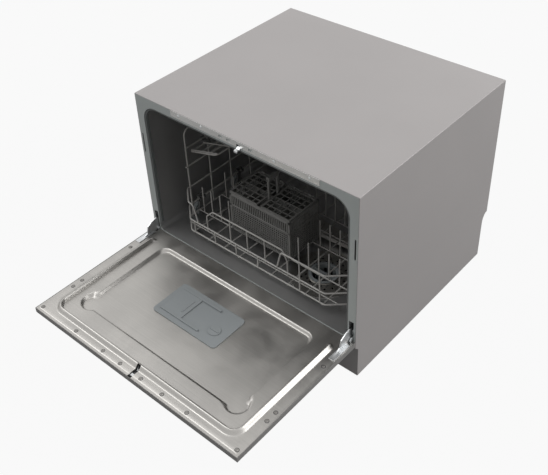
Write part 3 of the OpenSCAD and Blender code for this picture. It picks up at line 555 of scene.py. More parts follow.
class Solids:
    """Gathers closed shapes into one mesh."""

    def __init__(self) -> None:
        """Start with an empty mesh."""
        self.work = bmesh.new()

    def block(self, low: Sequence[float], high: Sequence[float],
              to: Callable[[float, float, float], Vector] = at) -> "Solids":
        """Add a block between two corners."""
        corners = [to(*(high[a] if bit[a] else low[a] for a in range(3)))
                   for bit in [(i & 1, i >> 1 & 1, i >> 2 & 1) for i in range(8)]]
        v = [self.work.verts.new(c) for c in corners]
        for f in ((0, 2, 3, 1), (4, 5, 7, 6), (0, 1, 5, 4), (2, 6, 7, 3), (0, 4, 6, 2), (1, 3, 7, 5)):
            self.work.faces.new([v[i] for i in f])
        return self

    def lathe(self, profile: Sequence[tuple[float, float]], centre: Vector, axis: Vector,
              sides: int = 32) -> "Solids":
        """Turn a closed profile of radius and height round an axis.

        Args:
            profile: Radius and height of each corner in millimetres; radius 0 meets the axis.
            centre: Where height 0 lies, in metres.
            axis: Direction of the height.
            sides: Steps round the axis.

        Returns:
            This object.
        """
        turn = axis.to_track_quat("Z", "Y").to_matrix()
        rings = []
        for radius, height in profile:
            count = 1 if radius <= 0 else sides
            rings.append([self.work.verts.new(centre + turn @ Vector((
                radius * MM * math.cos(math.tau * i / sides), radius * MM * math.sin(math.tau * i / sides),
                height * MM))) for i in range(count)])
        closed = profile[0][0] > 0
        pairs = list(zip(rings, rings[1:] + ([rings[0]] if closed else [])))
        for low, high in (pairs if closed else pairs[:len(rings) - 1]):
            for i in range(sides):
                j = (i + 1) % sides
                ring = [low[i % len(low)], low[j % len(low)], high[j % len(high)], high[i % len(high)]]
                face = list(dict.fromkeys(ring))
                if len(face) > 2:
                    self.work.faces.new(face)
        return self

    def prism(self, outline: Sequence[tuple[float, float]], low: float, high: float,
              to: Callable[[float, float, float], Vector]) -> "Solids":
        """Extrude an outline between two levels, each point given to `to` as u, v, level."""
        base = [self.work.verts.new(to(u, v, low)) for u, v in outline]
        roof = [self.work.verts.new(to(u, v, high)) for u, v in outline]
        n = len(outline)
        self.work.faces.new(base[::-1])
        self.work.faces.new(roof)
        for i in range(n):
            self.work.faces.new([base[i], base[(i + 1) % n], roof[(i + 1) % n], roof[i]])
        return self

    def piece(self, name: str, ease: float = 0.0, turns: int = 2, flat: float = 35.0) -> bpy.types.Object:
        """End as an object.

        Args:
            name: Its name.
            ease: Width of the easing of its edges in millimetres.
            turns: Faces across an eased edge.
            flat: Degrees past which an edge stays sharp.

        Returns:
            The object, with its modifiers settled.
        """
        bmesh.ops.recalc_face_normals(self.work, faces=self.work.faces)
        mesh = bpy.data.meshes.new(name)
        self.work.to_mesh(mesh)
        self.work.free()
        piece = link(mesh, name)
        mesh.shade_smooth()
        if ease > 0:
            ease_edges(piece, ease, turns)
        else:
            mesh.set_sharp_from_angle(angle=math.radians(flat))
        return piece


# ---- geometry nodes ----


class GeoGraph(Graph):
    """A geometry node tree with named inputs."""

    KINDS = {float: "NodeSocketFloat", int: "NodeSocketInt", bpy.types.Material: "NodeSocketMaterial"}

    def __init__(self, name: str, inputs: dict[str, type]) -> None:
        """Make the tree, its sockets and its input node."""
        tree = bpy.data.node_groups.new(name, "GeometryNodeTree")
        super().__init__(tree)
        face = tree.interface
        face.new_socket("Geometry", in_out="INPUT", socket_type="NodeSocketGeometry")
        self.ids = {key: face.new_socket(key, in_out="INPUT", socket_type=self.KINDS[kind]).identifier
                    for key, kind in inputs.items()}
        face.new_socket("Geometry", in_out="OUTPUT", socket_type="NodeSocketGeometry")
        self.entry = self.node("NodeGroupInput")

    def given(self, name: str) -> Term:
        """One of the tree's inputs."""
        return Term(self, self.entry.outputs[name])

    def joined(self, *shapes: Term) -> Term:
        """Shapes as one, the last first."""
        both = self.node("GeometryNodeJoinGeometry")
        for shape in shapes:
            self.tree.links.new(shape.socket, both.inputs[0])
        return Term(self, both.outputs[0])

    def copies(self, shape: Term, points: Term | None = None, **inputs: Term) -> Term:
        """A shape on every point, or on every point of the piece that the tree starts from."""
        return self.add("GeometryNodeInstanceOnPoints", None, {
            "Points": points or self.given("Geometry"), "Instance": shape, **inputs})

    def finish(self, shape: Term) -> "GeoGraph":
        """Realize the instances, set the material and end the tree."""
        real = self.add("GeometryNodeRealizeInstances", None, {"Geometry": shape})
        dressed = self.add("GeometryNodeSetMaterial", None,
                           {"Geometry": real, "Material": self.given("Material")})
        self.node("NodeGroupOutput", None, {0: dressed})
        return self

    def run(self, piece: bpy.types.Object, finish: Finish, **values: float) -> bpy.types.Object:
        """Run the tree on a piece and keep the plain mesh.

        Args:
            piece: The object whose mesh the tree starts from.
            finish: The finish that goes in the Material input.
            values: The other inputs, lengths in metres.

        Returns:
            The piece.
        """
        modifier = piece.modifiers.new("build", "NODES")
        modifier.node_group = self.tree
        modifier[self.ids["Material"]] = finish.material()
        for key, value in values.items():
            modifier[self.ids[key.replace("_", " ")]] = value
        settle(piece)
        return piece


def wire_tree() -> GeoGraph:
    """Round wire along every polyline, with bent corners and dipped ends."""
    g = GeoGraph("bent_wire", {"Radius": float, "Bend": float, "Tip": float, "Sides": int,
                               "Material": bpy.types.Material})
    curve = g.add("GeometryNodeMeshToCurve", None, {"Mesh": g.given("Geometry")})
    bent = g.add("GeometryNodeFilletCurve", {"mode": "POLY"},
                 {"Curve": curve, "Count": 5, "Radius": g.given("Bend"), "Limit Radius": True})
    ring = g.add("GeometryNodeCurvePrimitiveCircle", None,
                 {"Resolution": g.given("Sides"), "Radius": g.given("Radius")})
    tube = g.add("GeometryNodeCurveToMesh", None, {"Curve": bent, "Profile Curve": ring, "Fill Caps": True})
    ends = g.add("GeometryNodeCurveEndpointSelection", None, {"Start Size": 1, "End Size": 1})
    ball = g.add("GeometryNodeMeshUVSphere", None, {"Segments": 10, "Rings": 6, "Radius": g.given("Tip")})
    tips = g.copies(ball, bent, Selection=ends)
    return g.finish(g.add("GeometryNodeSetShadeSmooth", None, {"Geometry": g.joined(tube, tips)}))


def lines_mesh(lines: Iterable[Line], name: str, to: Callable[[float, float, float], Vector],
               closed: bool = False) -> bpy.types.Mesh:
    """A mesh of polylines, one edge chain each.

    Args:
        lines: The polylines in millimetres.
        name: The mesh's name.
        to: Turns millimetres into the model's metres.
        closed: Whether each line runs back to its start.

    Returns:
        The mesh.
    """
    points: list[Vector] = []
    edges: list[tuple[int, int]] = []
    for line in lines:
        start = len(points)
        points += [to(*p) for p in line]
        edges += [(i, i + 1) for i in range(start, len(points) - 1)]
        if closed:
            edges.append((len(points) - 1, start))
    mesh = bpy.data.meshes.new(name)
    mesh.from_pydata([tuple(p) for p in points], edges, [])
    return mesh


def join(pieces: Sequence[bpy.types.Object], name: str) -> bpy.types.Object:
    """Join pieces into the first and name it."""
    first = pieces[0]
    if len(pieces) > 1:
        with bpy.context.temp_override(active_object=first, object=first, selected_objects=list(pieces),
                                       selected_editable_objects=list(pieces)):
            bpy.ops.object.join()
    first.name = name
    return first


# ---- the rack ----


@dataclass
class WireRack:
    """The pull-out rack and its fold-up shelf in round coated wire."""

    wire: float = 3.6
    thin: float = 3.2
    tine: float = 3.0
    half: float = 218.0
    depth: float = 380.0
    cut_x: float = 36.0
    cut_y: float = 32.0
    base: float = 130.0
    mid: float = 160.0
    right: float = 205.0
    left: float = 259.0
    back: float = 350.0
    tine_high: float = 68.0
    pitch: float = 26.0
    step_x: float = 62.0
    rows: tuple[float, ...] = (18, 60, 130, 172, 215, 300, 345)
    shelf_x: float = -206.0
    shelf_z: float = 300.0
    shelf_w: float = 78.0
    shelf_tilt: float = 16.0
    step_w: float = 12.0
    left_step: float = 24.0
    long_pitch: float = 44.0
    rear_pitch: float = 60.0
    tip: float = 1.04
    sides: int = 10
    tree: GeoGraph = field(default_factory=wire_tree)

    @property
    def low(self) -> float:
        """Height of the base's long wires."""
        return self.base + self.wire / 2 - 1.5 * self.thin + 0.4

    @property
    def seat(self) -> float:
        """Height of the base wires' upper side."""
        return self.base + self.wire / 2

    @property
    def side_y(self) -> float:
        """Where the side rails start behind the chamfered corners."""
        return self.cut_y + 4

    def bend(self, name: str, body: str, node: str, sets: Sequence[Wires],
             to: Callable[[float, float, float], Vector] = rack_at) -> None:
        """Make one piece of wires.

        Args:
            name: The piece's name.
            body: Its body.
            node: The CAD node that it replaces.
            sets: Lines with their diameter, bend radius and whether they are closed.
            to: Turns millimetres into metres.
        """
        parts = []
        for lines, size, radius, closed in sets:
            part = link(lines_mesh(lines, name, to, closed), name)
            self.tree.run(part, Finish.WIRE, Radius=size / 2 * MM, Bend=radius * MM,
                          Tip=size / 2 * MM * self.tip, Sides=self.sides)
            parts.append(part)
        place(join(parts, name), body, Finish.WIRE, [node])

    def base_wires(self) -> None:
        """The base: one ring, the long wires and the cross wires."""
        x, z = self.half, self.base
        ring = [(-x, self.depth, z), (-x, self.cut_y, z), (self.cut_x - x, 0, z), (x - self.cut_x, 0, z),
                (x, self.cut_y, z), (x, self.depth, z)]
        longs = [[(i * self.long_pitch, 0, self.low), (i * self.long_pitch, self.depth, self.low)]
                 for i in range(-4, 5)]
        cross = []
        for y in self.rows:
            w = x - self.cut_x * (1 - y / self.cut_y) if y < self.cut_y else x
            cross.append([(-w, y, z + 0.2), (w, y, z + 0.2)])
        self.bend("rack_floor_wires", "rack", "rack_base",
                  [([ring], self.wire, 10, True), (longs + cross, self.thin, 1, False)])

    def front_wires(self) -> None:
        """The front: the middle rail, the stepped upper rail and the uprights."""
        x, y0 = self.half, self.side_y
        rail = [(-x, y0, self.mid), (-x, self.cut_y, self.mid), (self.cut_x - x, 0, self.mid),
                (x - self.cut_x, 0, self.mid), (x, self.cut_y, self.mid), (x, y0, self.mid)]
        step, corner = self.step_w, x - self.cut_x
        upper = [(self.step_x, 0, self.mid), (self.step_x + step, 0, self.right), (corner, 0, self.right),
                 (x, self.cut_y, self.right), (x, y0, self.right)]
        left = [(-x, y0, self.right), (-x, self.cut_y, self.right), (-corner, 0, self.right),
                (-corner + step, 0, self.right), (-corner + self.left_step, 0, self.mid)]
        posts = [[(p, 0, self.base), (p, 0, self.mid)] for p in (-corner + step, -110, -50, 10)]
        posts += [[(p, 0, self.base), (p, 0, self.right)] for p in (120, corner - step)]
        self.bend("rack_front_wires", "rack", "rack_front",
                  [([rail, upper, left], self.wire, 9, False), (posts, self.thin, 1, False)])

    def side_wires(self) -> None:
        """The two sides and the rear: rails and uprights."""
        y0, y1 = self.side_y, self.depth
        x = self.half
        rails = [[(x, y0, z), (x, y1, z)] for z in (self.mid, self.right)]
        posts = [[(x, y, self.base), (x, y, self.right)] for y in (y0 + 4, 104, 162, 228, 286, y1 - 2)]
        sides: list[Wires] = [(rails, self.wire, 1, False), (posts, self.thin, 1, False)]
        bow = [(-x, y, z) for y, z in ((y0 + 4, self.base), (y0 + 4, self.back), (y1 - 2, self.back),
                                       (y1 - 2, self.base))]
        rails = [[(-x, y0, z), (-x, y1, z)] for z in (self.mid, self.right, self.left)]
        rails.append([(-x, y, (self.left + self.back) / 2) for y in (y0 + 4, y1 - 2)])
        posts = [[(-x, y, self.base), (-x, y, self.back)] for y in (104, 228)]
        posts += [[(-x, y, self.base), (-x, y, self.left)] for y in (166, 282, 330)]
        sides += [([bow] + rails, self.wire, 14, False), (posts, self.thin, 1, False)]
        self.bend("rack_side_wires", "rack", "rack_sides", sides)
        w = x - 0.5
        rails = [[(-w, y1, z), (w, y1, z)] for z in (self.mid, self.right)]
        posts = [[(i * self.rear_pitch, y1, z) for z in (self.base, self.right)] for i in range(-3, 4)]
        self.bend("rack_rear_wires", "rack", "rack_rear",
                  [(rails, self.wire, 1, False), (posts, self.thin, 1, False)])

    def tines(self) -> None:
        """The rows of plate tines and the rail round the basket."""
        def row(y: float, x0: float, count: int) -> list[Line]:
            """Upright tines from x0 on."""
            return [[(x0 + i * self.pitch, y, self.seat - 1.5),
                     (x0 + i * self.pitch, y, self.seat + self.tine_high - 1.5)] for i in range(count)]
        front, rear = [], []
        for y in (60, 130):
            front += row(y, self.half - 20 - 5 * self.pitch, 6) + row(y, 16 - self.half, 4)
        for y in (215, 300):
            rear += row(y, self.half - 20 - 9 * self.pitch, 10)
        self.bend("tine_wires", "rack", "plate_tines", [(front + rear, self.tine, 1, False)])
        x0, x1, z1, y = -130.0, 62.0, self.base + 62, self.rows[0]
        loop = [(x0 - 20, y, self.base), (x0 - 20, y, z1 - 20), (x0, y, z1), (x1, y, z1), (x1 + 12, y, z1 - 24),
                (x1 + 12, y, self.base)]
        posts = [[(x0 + i * (x1 - x0) / 4, y, z) for z in (self.base, z1)] for i in (1, 2, 3)]
        self.bend("basket_rail_wires", "rack", "basket_rail",
                  [([loop], self.wire, 8, False), (posts, self.thin, 1, False)])

    def shelf(self) -> None:
        """The fold-up cup shelf on its hinge rod."""
        y0, y1 = self.side_y + 10, self.depth - 20
        turn = math.radians(self.shelf_tilt)
        lift = (self.wire + self.thin) / 2 - 0.8

        def to(x: float, y: float, z: float) -> Vector:
            """Shelf millimetres, x along its slope."""
            return rack_at(self.shelf_x + x * math.cos(turn) - z * math.sin(turn), y,
                           self.shelf_z + x * math.sin(turn) + z * math.cos(turn))

        edge = [(0, y0, 0), (self.shelf_w, y0, 0), (self.shelf_w, y1, 0), (0, y1, 0)]
        rods = [[(x, y0, 0), (x, y1, 0)] for x in (self.shelf_w * 0.35, self.shelf_w * 0.7)]
        cross = []
        for i in range(10):
            y = y0 + 2 + i * (y1 - y0 - 4) / 9
            cross.append([(-0.3, y, lift), (self.shelf_w + 1, y, lift)])
        hinge = [[(0, y0, 0), (0, y1, 0)]]
        self.bend("cup_shelf_wires", "cup_shelf", "cup_shelf",
                  [([edge], self.wire, 9, False), (rods + hinge, self.wire, 1, False),
                   (cross, self.thin, 1, False)], to)

    def build(self) -> None:
        """Build every wire piece."""
        for step in (self.base_wires, self.front_wires, self.side_wires, self.tines, self.shelf):
            step()


# ---- the inner door ----


@dataclass
class DoorLiner:
    """The drawn stainless inner door: a rounded ridge, a sunk panel with two lobes, and cut-outs."""

    half_x: float = 273.7
    z0: float = 1.8
    z1: float = 323.7
    level: float = -2.0
    thick: float = 1.0
    ridge_x: float = 251.6
    ridge_z0: float = 14.0
    ridge_z1: float = 303.6
    ridge_w: float = 12.6
    ridge_h: float = 8.0
    ridge_r: float = 30.0
    ridge_end: float = 31.0
    drop: float = 7.0
    sunk_x: float = 208.0
    sunk_z0: float = 34.0
    sunk_z1: float = 257.0
    lobe_r: float = 24.0
    hem_w: float = 6.4
    hem_drop: float = 0.5
    holes: tuple[tuple[float, float, float, float], ...] = (
        (-85.0, 65.0, 92.0, 168.0), (0.5, 9.5, 292.0, 330.0),
        (258.8, 269.5, 0.0, 11.0), (-269.5, -258.8, 0.0, 11.0))

    @staticmethod
    def rounded(x: np.ndarray, z: np.ndarray, half: float, z0: float, z1: float, r: float) -> np.ndarray:
        """Distance inside a rounded rectangle, negative outside.

        Args:
            x: Across the door.
            z: Up the door.
            half: Half width.
            z0: Lower edge.
            z1: Upper edge.
            r: Corner radius.

        Returns:
            The distance of every point.
        """
        qx = np.abs(x) - (half - r)
        qz = np.abs(z - (z0 + z1) / 2) - ((z1 - z0) / 2 - r)
        outer = np.hypot(np.maximum(qx, 0), np.maximum(qz, 0))
        return r - outer - np.minimum(np.maximum(qx, qz), 0)

    @staticmethod
    def ramp(t: np.ndarray) -> np.ndarray:
        """Smooth step from 0 to 1."""
        t = np.clip(t, 0, 1)
        return t * t * (3 - 2 * t)

    def height(self, x: np.ndarray, z: np.ndarray) -> np.ndarray:
        """Height of the drawn sheet over its flange."""
        inside = self.rounded(x, z, self.ridge_x, self.ridge_z0, self.ridge_z1, self.ridge_r)
        across = inside / self.ridge_w
        slope = np.clip(across / 0.6, 0, 1) * 0.6 + self.ramp(across / 0.6) * 0.4
        bead = slope * self.ramp((1 - across) / 0.24)
        tall = self.ridge_h * bead * self.ramp((z - self.ridge_end) / 7)
        sunk = self.rounded(x, z, self.sunk_x, self.sunk_z0, self.sunk_z1, 20)
        lobe_x, lobe_z = self.sunk_x - self.lobe_r + 14, self.sunk_z1 - self.lobe_r + 8
        lobe = self.lobe_r - np.hypot(np.abs(x) - lobe_x, z - lobe_z)
        inner = np.maximum(sunk, lobe)
        hem = np.minimum(self.half_x - np.abs(x), self.z1 - z)
        return tall - self.drop * self.ramp(inner / 4.5) - self.hem_drop * self.ramp((self.hem_w - hem) / 1.6)

    def stops(self, low: float, high: float, fine: Sequence[tuple[float, float, float]], coarse: float,
              cuts: Sequence[float]) -> np.ndarray:
        """Grid lines, dense where the sheet bends and on every cut.

        Args:
            low: First line.
            high: Last line.
            fine: Ranges with their own spacing.
            coarse: Spacing elsewhere.
            cuts: Lines that must be there.

        Returns:
            The sorted lines.
        """
        lines, place_now = [low], low
        while place_now < high:
            step = next((s for a, b, s in fine if a <= place_now < b), coarse)
            place_now += step
            lines.append(min(place_now, high))
        kept = [v for v in lines if all(abs(v - c) > 0.7 for c in cuts)]
        return np.array(sorted(set(kept + [c for c in cuts if low <= c <= high])))

    def build(self) -> None:
        """Draw the sheet on a grid, cut its holes and give it its thickness."""
        cut_x = sorted({v for h in self.holes for v in h[:2]} | {-self.half_x, self.half_x})
        cut_z = sorted({v for h in self.holes for v in h[2:]} | {self.z0, self.z1})
        fine_x = [(-270, -264, 0.8), (-253, -237, 1.15), (-237, -176, 1.9), (176, 237, 1.9), (237, 253, 1.15),
                  (264, 270, 0.8)]
        fine_z = [(22, 42, 1.5), (228, 272, 1.6), (272, 289, 1.9), (289, 305, 1.15), (314, 320, 0.8)]
        xs = self.stops(-self.half_x, self.half_x, fine_x, 7.0, cut_x)
        zs = self.stops(self.z0, self.z1, fine_z, 6.0, cut_z)
        gx, gz = np.meshgrid(xs, zs)
        gh = self.level + self.height(gx, gz)
        count = len(xs)
        points = [door_at(x, h, z) for x, h, z in zip(gx.ravel(), gh.ravel(), gz.ravel())]
        faces = []
        for j in range(len(zs) - 1):
            mz = (zs[j] + zs[j + 1]) / 2
            for i in range(count - 1):
                mx = (xs[i] + xs[i + 1]) / 2
                if any(a < mx < b and c < mz < d for a, b, c, d in self.holes):
                    continue
                a = j * count + i
                faces.append((a, a + count, a + count + 1, a + 1))
        piece = link(mesh_of(points, faces, "drawn_liner"), "drawn_liner")
        work = bmesh.new()
        work.from_mesh(piece.data)
        loose = [v for v in work.verts if not v.link_faces]
        bmesh.ops.delete(work, geom=loose, context="VERTS")
        up = sum((f.normal.z for f in work.faces), 0.0)
        if up < 0:
            bmesh.ops.reverse_faces(work, faces=work.faces)
        work.to_mesh(piece.data)
        work.free()
        piece.data.shade_smooth()
        wall = piece.modifiers.new("wall", "SOLIDIFY")
        wall.thickness = self.thick * MM
        wall.offset = -1.0
        wall.use_even_offset = True
        settle(piece)
        piece.data.set_sharp_from_angle(angle=math.radians(50))
        place(piece, "door", Finish.STEEL, ["door_liner"])


# ---- the case ----


@dataclass
class Case:
    """The painted case and the door's outer parts."""

    half: float = 275.0
    depth: float = 480.0
    top: float = 450.0
    fold: float = 2.6
    round: float = 2.0

    sheets: tuple[tuple[str, Finish, float], ...] = (
        ("side_panel_left", Finish.CASE, 0.4), ("side_panel_right", Finish.CASE, 0.4),
        ("kick_panel", Finish.CASE, 0.4), ("front_frame", Finish.FRAME, 0.4),
        ("rear_panel", Finish.CASE, 0.3), ("latch_strip", Finish.BRIGHT, 0.25),
        ("door_panel", Finish.DOOR_COAT_AND_SHADE, 0.8), ("fascia", Finish.BLACK, 0.6), ("handle_cup", Finish.DARK, 0.5))

    def build(self) -> None:
        """Build the top panel with its rolled edges and ease the sheet parts."""
        solid = Solids().block((-self.half, 0, self.top - self.fold), (self.half, self.depth, self.top))
        piece = solid.piece("rolled_top", self.round, 3)
        place(piece, "cabinet", Finish.CASE, ["top_panel"])
        for node, finish, width in self.sheets:
            eased(node, finish, width)


def bar_tree() -> GeoGraph:
    """A block on every point."""
    g = GeoGraph("bars", {"X": float, "Y": float, "Z": float, "Material": bpy.types.Material})
    return g.finish(g.copies(g.add("GeometryNodeMeshCube", None, {"Size": g.xyz(*map(g.given, "XYZ"))})))


def teeth_tree() -> GeoGraph:
    """A ring of blocks round the X axis on every point."""
    g = GeoGraph("teeth", {"Count": int, "Radius": float, "Reach": float, "Breadth": float, "Width": float,
                           "Material": bpy.types.Material})
    ring = g.add("GeometryNodeMeshCircle", None, {"Vertices": g.given("Count"), "Radius": g.given("Radius")})
    size = g.xyz(*map(g.given, ("Reach", "Breadth", "Width")))
    cube = g.add("GeometryNodeMeshCube", None, {"Size": size})
    angle = g.add("GeometryNodeInputIndex") * math.tau / g.given("Count")
    teeth = g.copies(cube, ring, Rotation=g.xyz(z=angle))
    return g.finish(g.copies(g.add("GeometryNodeTransform", None, {
        "Geometry": teeth, "Rotation": (0.0, math.pi / 2, 0.0)})))


def screw_tree() -> GeoGraph:
    """A flanged pan-head screw with a cross recess on every point."""
    g = GeoGraph("screws", {"Radius": float, "Height": float, "Turn": float, "Material": bpy.types.Material})
    r, h = g.given("Radius"), g.given("Height")

    def lifted(shape: Term, level: Term) -> Term:
        """A shape moved up by a height."""
        return g.add("GeometryNodeTransform", None, {"Geometry": shape, "Translation": g.xyz(z=level)})

    plate = g.add("GeometryNodeMeshCylinder", None, {"Vertices": 20, "Radius": r, "Depth": h * 0.3})
    shape = g.add("GeometryNodeMeshCone", None, {"Vertices": 20, "Radius Top": r * 0.5,
                                                 "Radius Bottom": r * 0.8, "Depth": h})
    for first, second in ((1.1, 0.3), (0.3, 1.1)):
        bar = g.add("GeometryNodeMeshCube", None, {"Size": g.xyz(r * first, r * second, h * 0.9)})
        shape = g.add("GeometryNodeMeshBoolean", {"operation": "DIFFERENCE", "solver": "EXACT"},
                      {0: shape, 1: lifted(bar, h)})
    head = g.joined(shape, lifted(plate, h * 0.15))
    return g.finish(g.copies(head, Rotation=g.xyz(g.given("Turn"))))


def thread_tree() -> GeoGraph:
    """A round thread wound backwards along Y from every point."""
    g = GeoGraph("thread", {"Radius": float, "Length": float, "Turns": float, "Wire": float,
                            "Material": bpy.types.Material})
    coil = g.add("GeometryNodeCurveSpiral", None, {
        "Resolution": 28, "Rotations": g.given("Turns"), "Start Radius": g.given("Radius"),
        "End Radius": g.given("Radius"), "Height": g.given("Length")})
    ring = g.add("GeometryNodeCurvePrimitiveCircle", None, {"Resolution": 6, "Radius": g.given("Wire")})
    tube = g.add("GeometryNodeCurveToMesh", None, {"Curve": coil, "Profile Curve": ring, "Fill Caps": True})
    return g.finish(g.copies(g.add("GeometryNodeTransform", None, {
        "Geometry": tube, "Rotation": (-math.pi / 2, 0.0, 0.0)})))


TREES: dict[str, Callable[[], GeoGraph]] = {"bars": bar_tree, "teeth": teeth_tree, "screws": screw_tree,
                                            "thread": thread_tree}
BUILT: dict[str, GeoGraph] = {}


def repeat(tree: str, points: Iterable[Vector], finish: Finish, **values: float) -> bpy.types.Object:
    """Run one of the repeating trees on points.

    Args:
        tree: Its name.
        points: Places in metres.
        finish: The finish.
        values: The tree's other inputs; lengths in metres.

    Returns:
        The piece.
    """
    if tree not in BUILT:
        BUILT[tree] = TREES[tree]()
    piece = link(mesh_of(list(points), [], tree), tree)
    return BUILT[tree].run(piece, finish, **values)


@dataclass
class Wheels:
    """The rack's ribbed wheels, three pairs."""

    radius: float = 14.0
    width: float = 9.0
    axle: float = 3.1
    x: float = 228.3
    z: float = 124.3
    plate_x: float = 219.8
    plate_top: float = 168.0
    bowl: float = 10.5
    spots: dict[str, float] = field(default_factory=lambda: {"front": 69.0, "middle": 193.0, "rear": 317.0})

    def pair(self, name: str, y: float) -> None:
        """One pair of wheels, with hub, web, spokes and a toothed tyre."""
        r, w = self.radius, self.width
        hub = [(self.axle, 0.0), (6.2, 0.0), (6.2, w), (self.axle, w)]
        web = [(6.0, 3.0), (11.0, 3.0), (11.0, 4.4), (6.0, 4.4)]
        tyre = [(10.6, 0.4), (12.3, 0.0), (12.3, w), (10.6, w - 0.4)]
        solid = Solids()
        centres = []
        for side in (-1, 1):
            inner = rack_at(side * self.x, y, self.z)
            for profile in (hub, web, tyre):
                solid.lathe(profile, inner, Vector((side, 0, 0)), 40)
            centres.append(rack_at(side * (self.x + w / 2), y, self.z))
        body = solid.piece(f"{name}_hubs", 0, flat=40)
        teeth = repeat("teeth", centres, Finish.GREY, Count=20, Radius=(r - 1.1) * MM, Reach=2.1 * MM,
                       Breadth=2.1 * MM, Width=(w - 0.4) * MM)
        spokes = repeat("teeth", centres, Finish.GREY, Count=8, Radius=8.5 * MM, Reach=5.2 * MM,
                        Breadth=1.3 * MM, Width=(w - 2.0) * MM)
        node = f"wheels_{name}"
        place(join([body, teeth, spokes], f"wheel_pair_{name}"), node, Finish.GREY, [node])

    def brackets(self) -> None:
        """The clips that carry the wheels: a waisted plate with a rib, two wire hooks and the axle."""
        start, top, z, r = self.plate_x, self.plate_top, self.z, self.bowl
        bowl = [(r * math.sin(a), max(z - r * math.cos(a), z - 6)) for a in
                (math.radians(t) for t in range(-105, 106, 15))]
        outline = bowl + [(5.5, z + 17), (5.5, z + 24), (8.5, z + 31), (8.5, top), (-8.5, top), (-8.5, z + 31),
                          (-5.5, z + 24), (-5.5, z + 17)]
        hook = top - 3.2
        solid = Solids()
        for side in (-1, 1):
            for y in self.spots.values():
                def to(u: float, v: float, level: float) -> Vector:
                    """Plate millimetres as metres."""
                    return rack_at(side * level, y + u, v)
                solid.prism(outline, start, start + 3.2, to)
                rib = [(-1.1, z + 4), (1.1, z + 4), (1.1, top - 2), (-1.1, top - 2)]
                solid.prism(rib, start + 3.2, start + 4, to)
                for low, high in ((-8.5, -4), (4, 8.5)):
                    for foot, end in ((hook - 3, start + 0.5), (hook - 7.8, start - 5.4)):
                        solid.prism([(low, foot), (high, foot), (high, hook), (low, hook)], start - 7, end, to)
                face = rack_at(side * start, y, z)
                out = Vector((side, 0, 0))
                solid.lathe([(0, 3), (6, 3), (5.6, 7.6), (3, 7.7), (3, 18.9), (4.5, 18), (4.5, 19.1), (3.4, 19.5),
                             (0, 19.5)], face, out, 24)
        place(solid.piece("wheel_brackets", 0.35, 2), "rack", Finish.CLIP, ["wheel_clips"])

    def build(self) -> None:
        """Build the three pairs and their brackets."""
        for name, y in self.spots.items():
            self.pair(name, y)
        self.brackets()


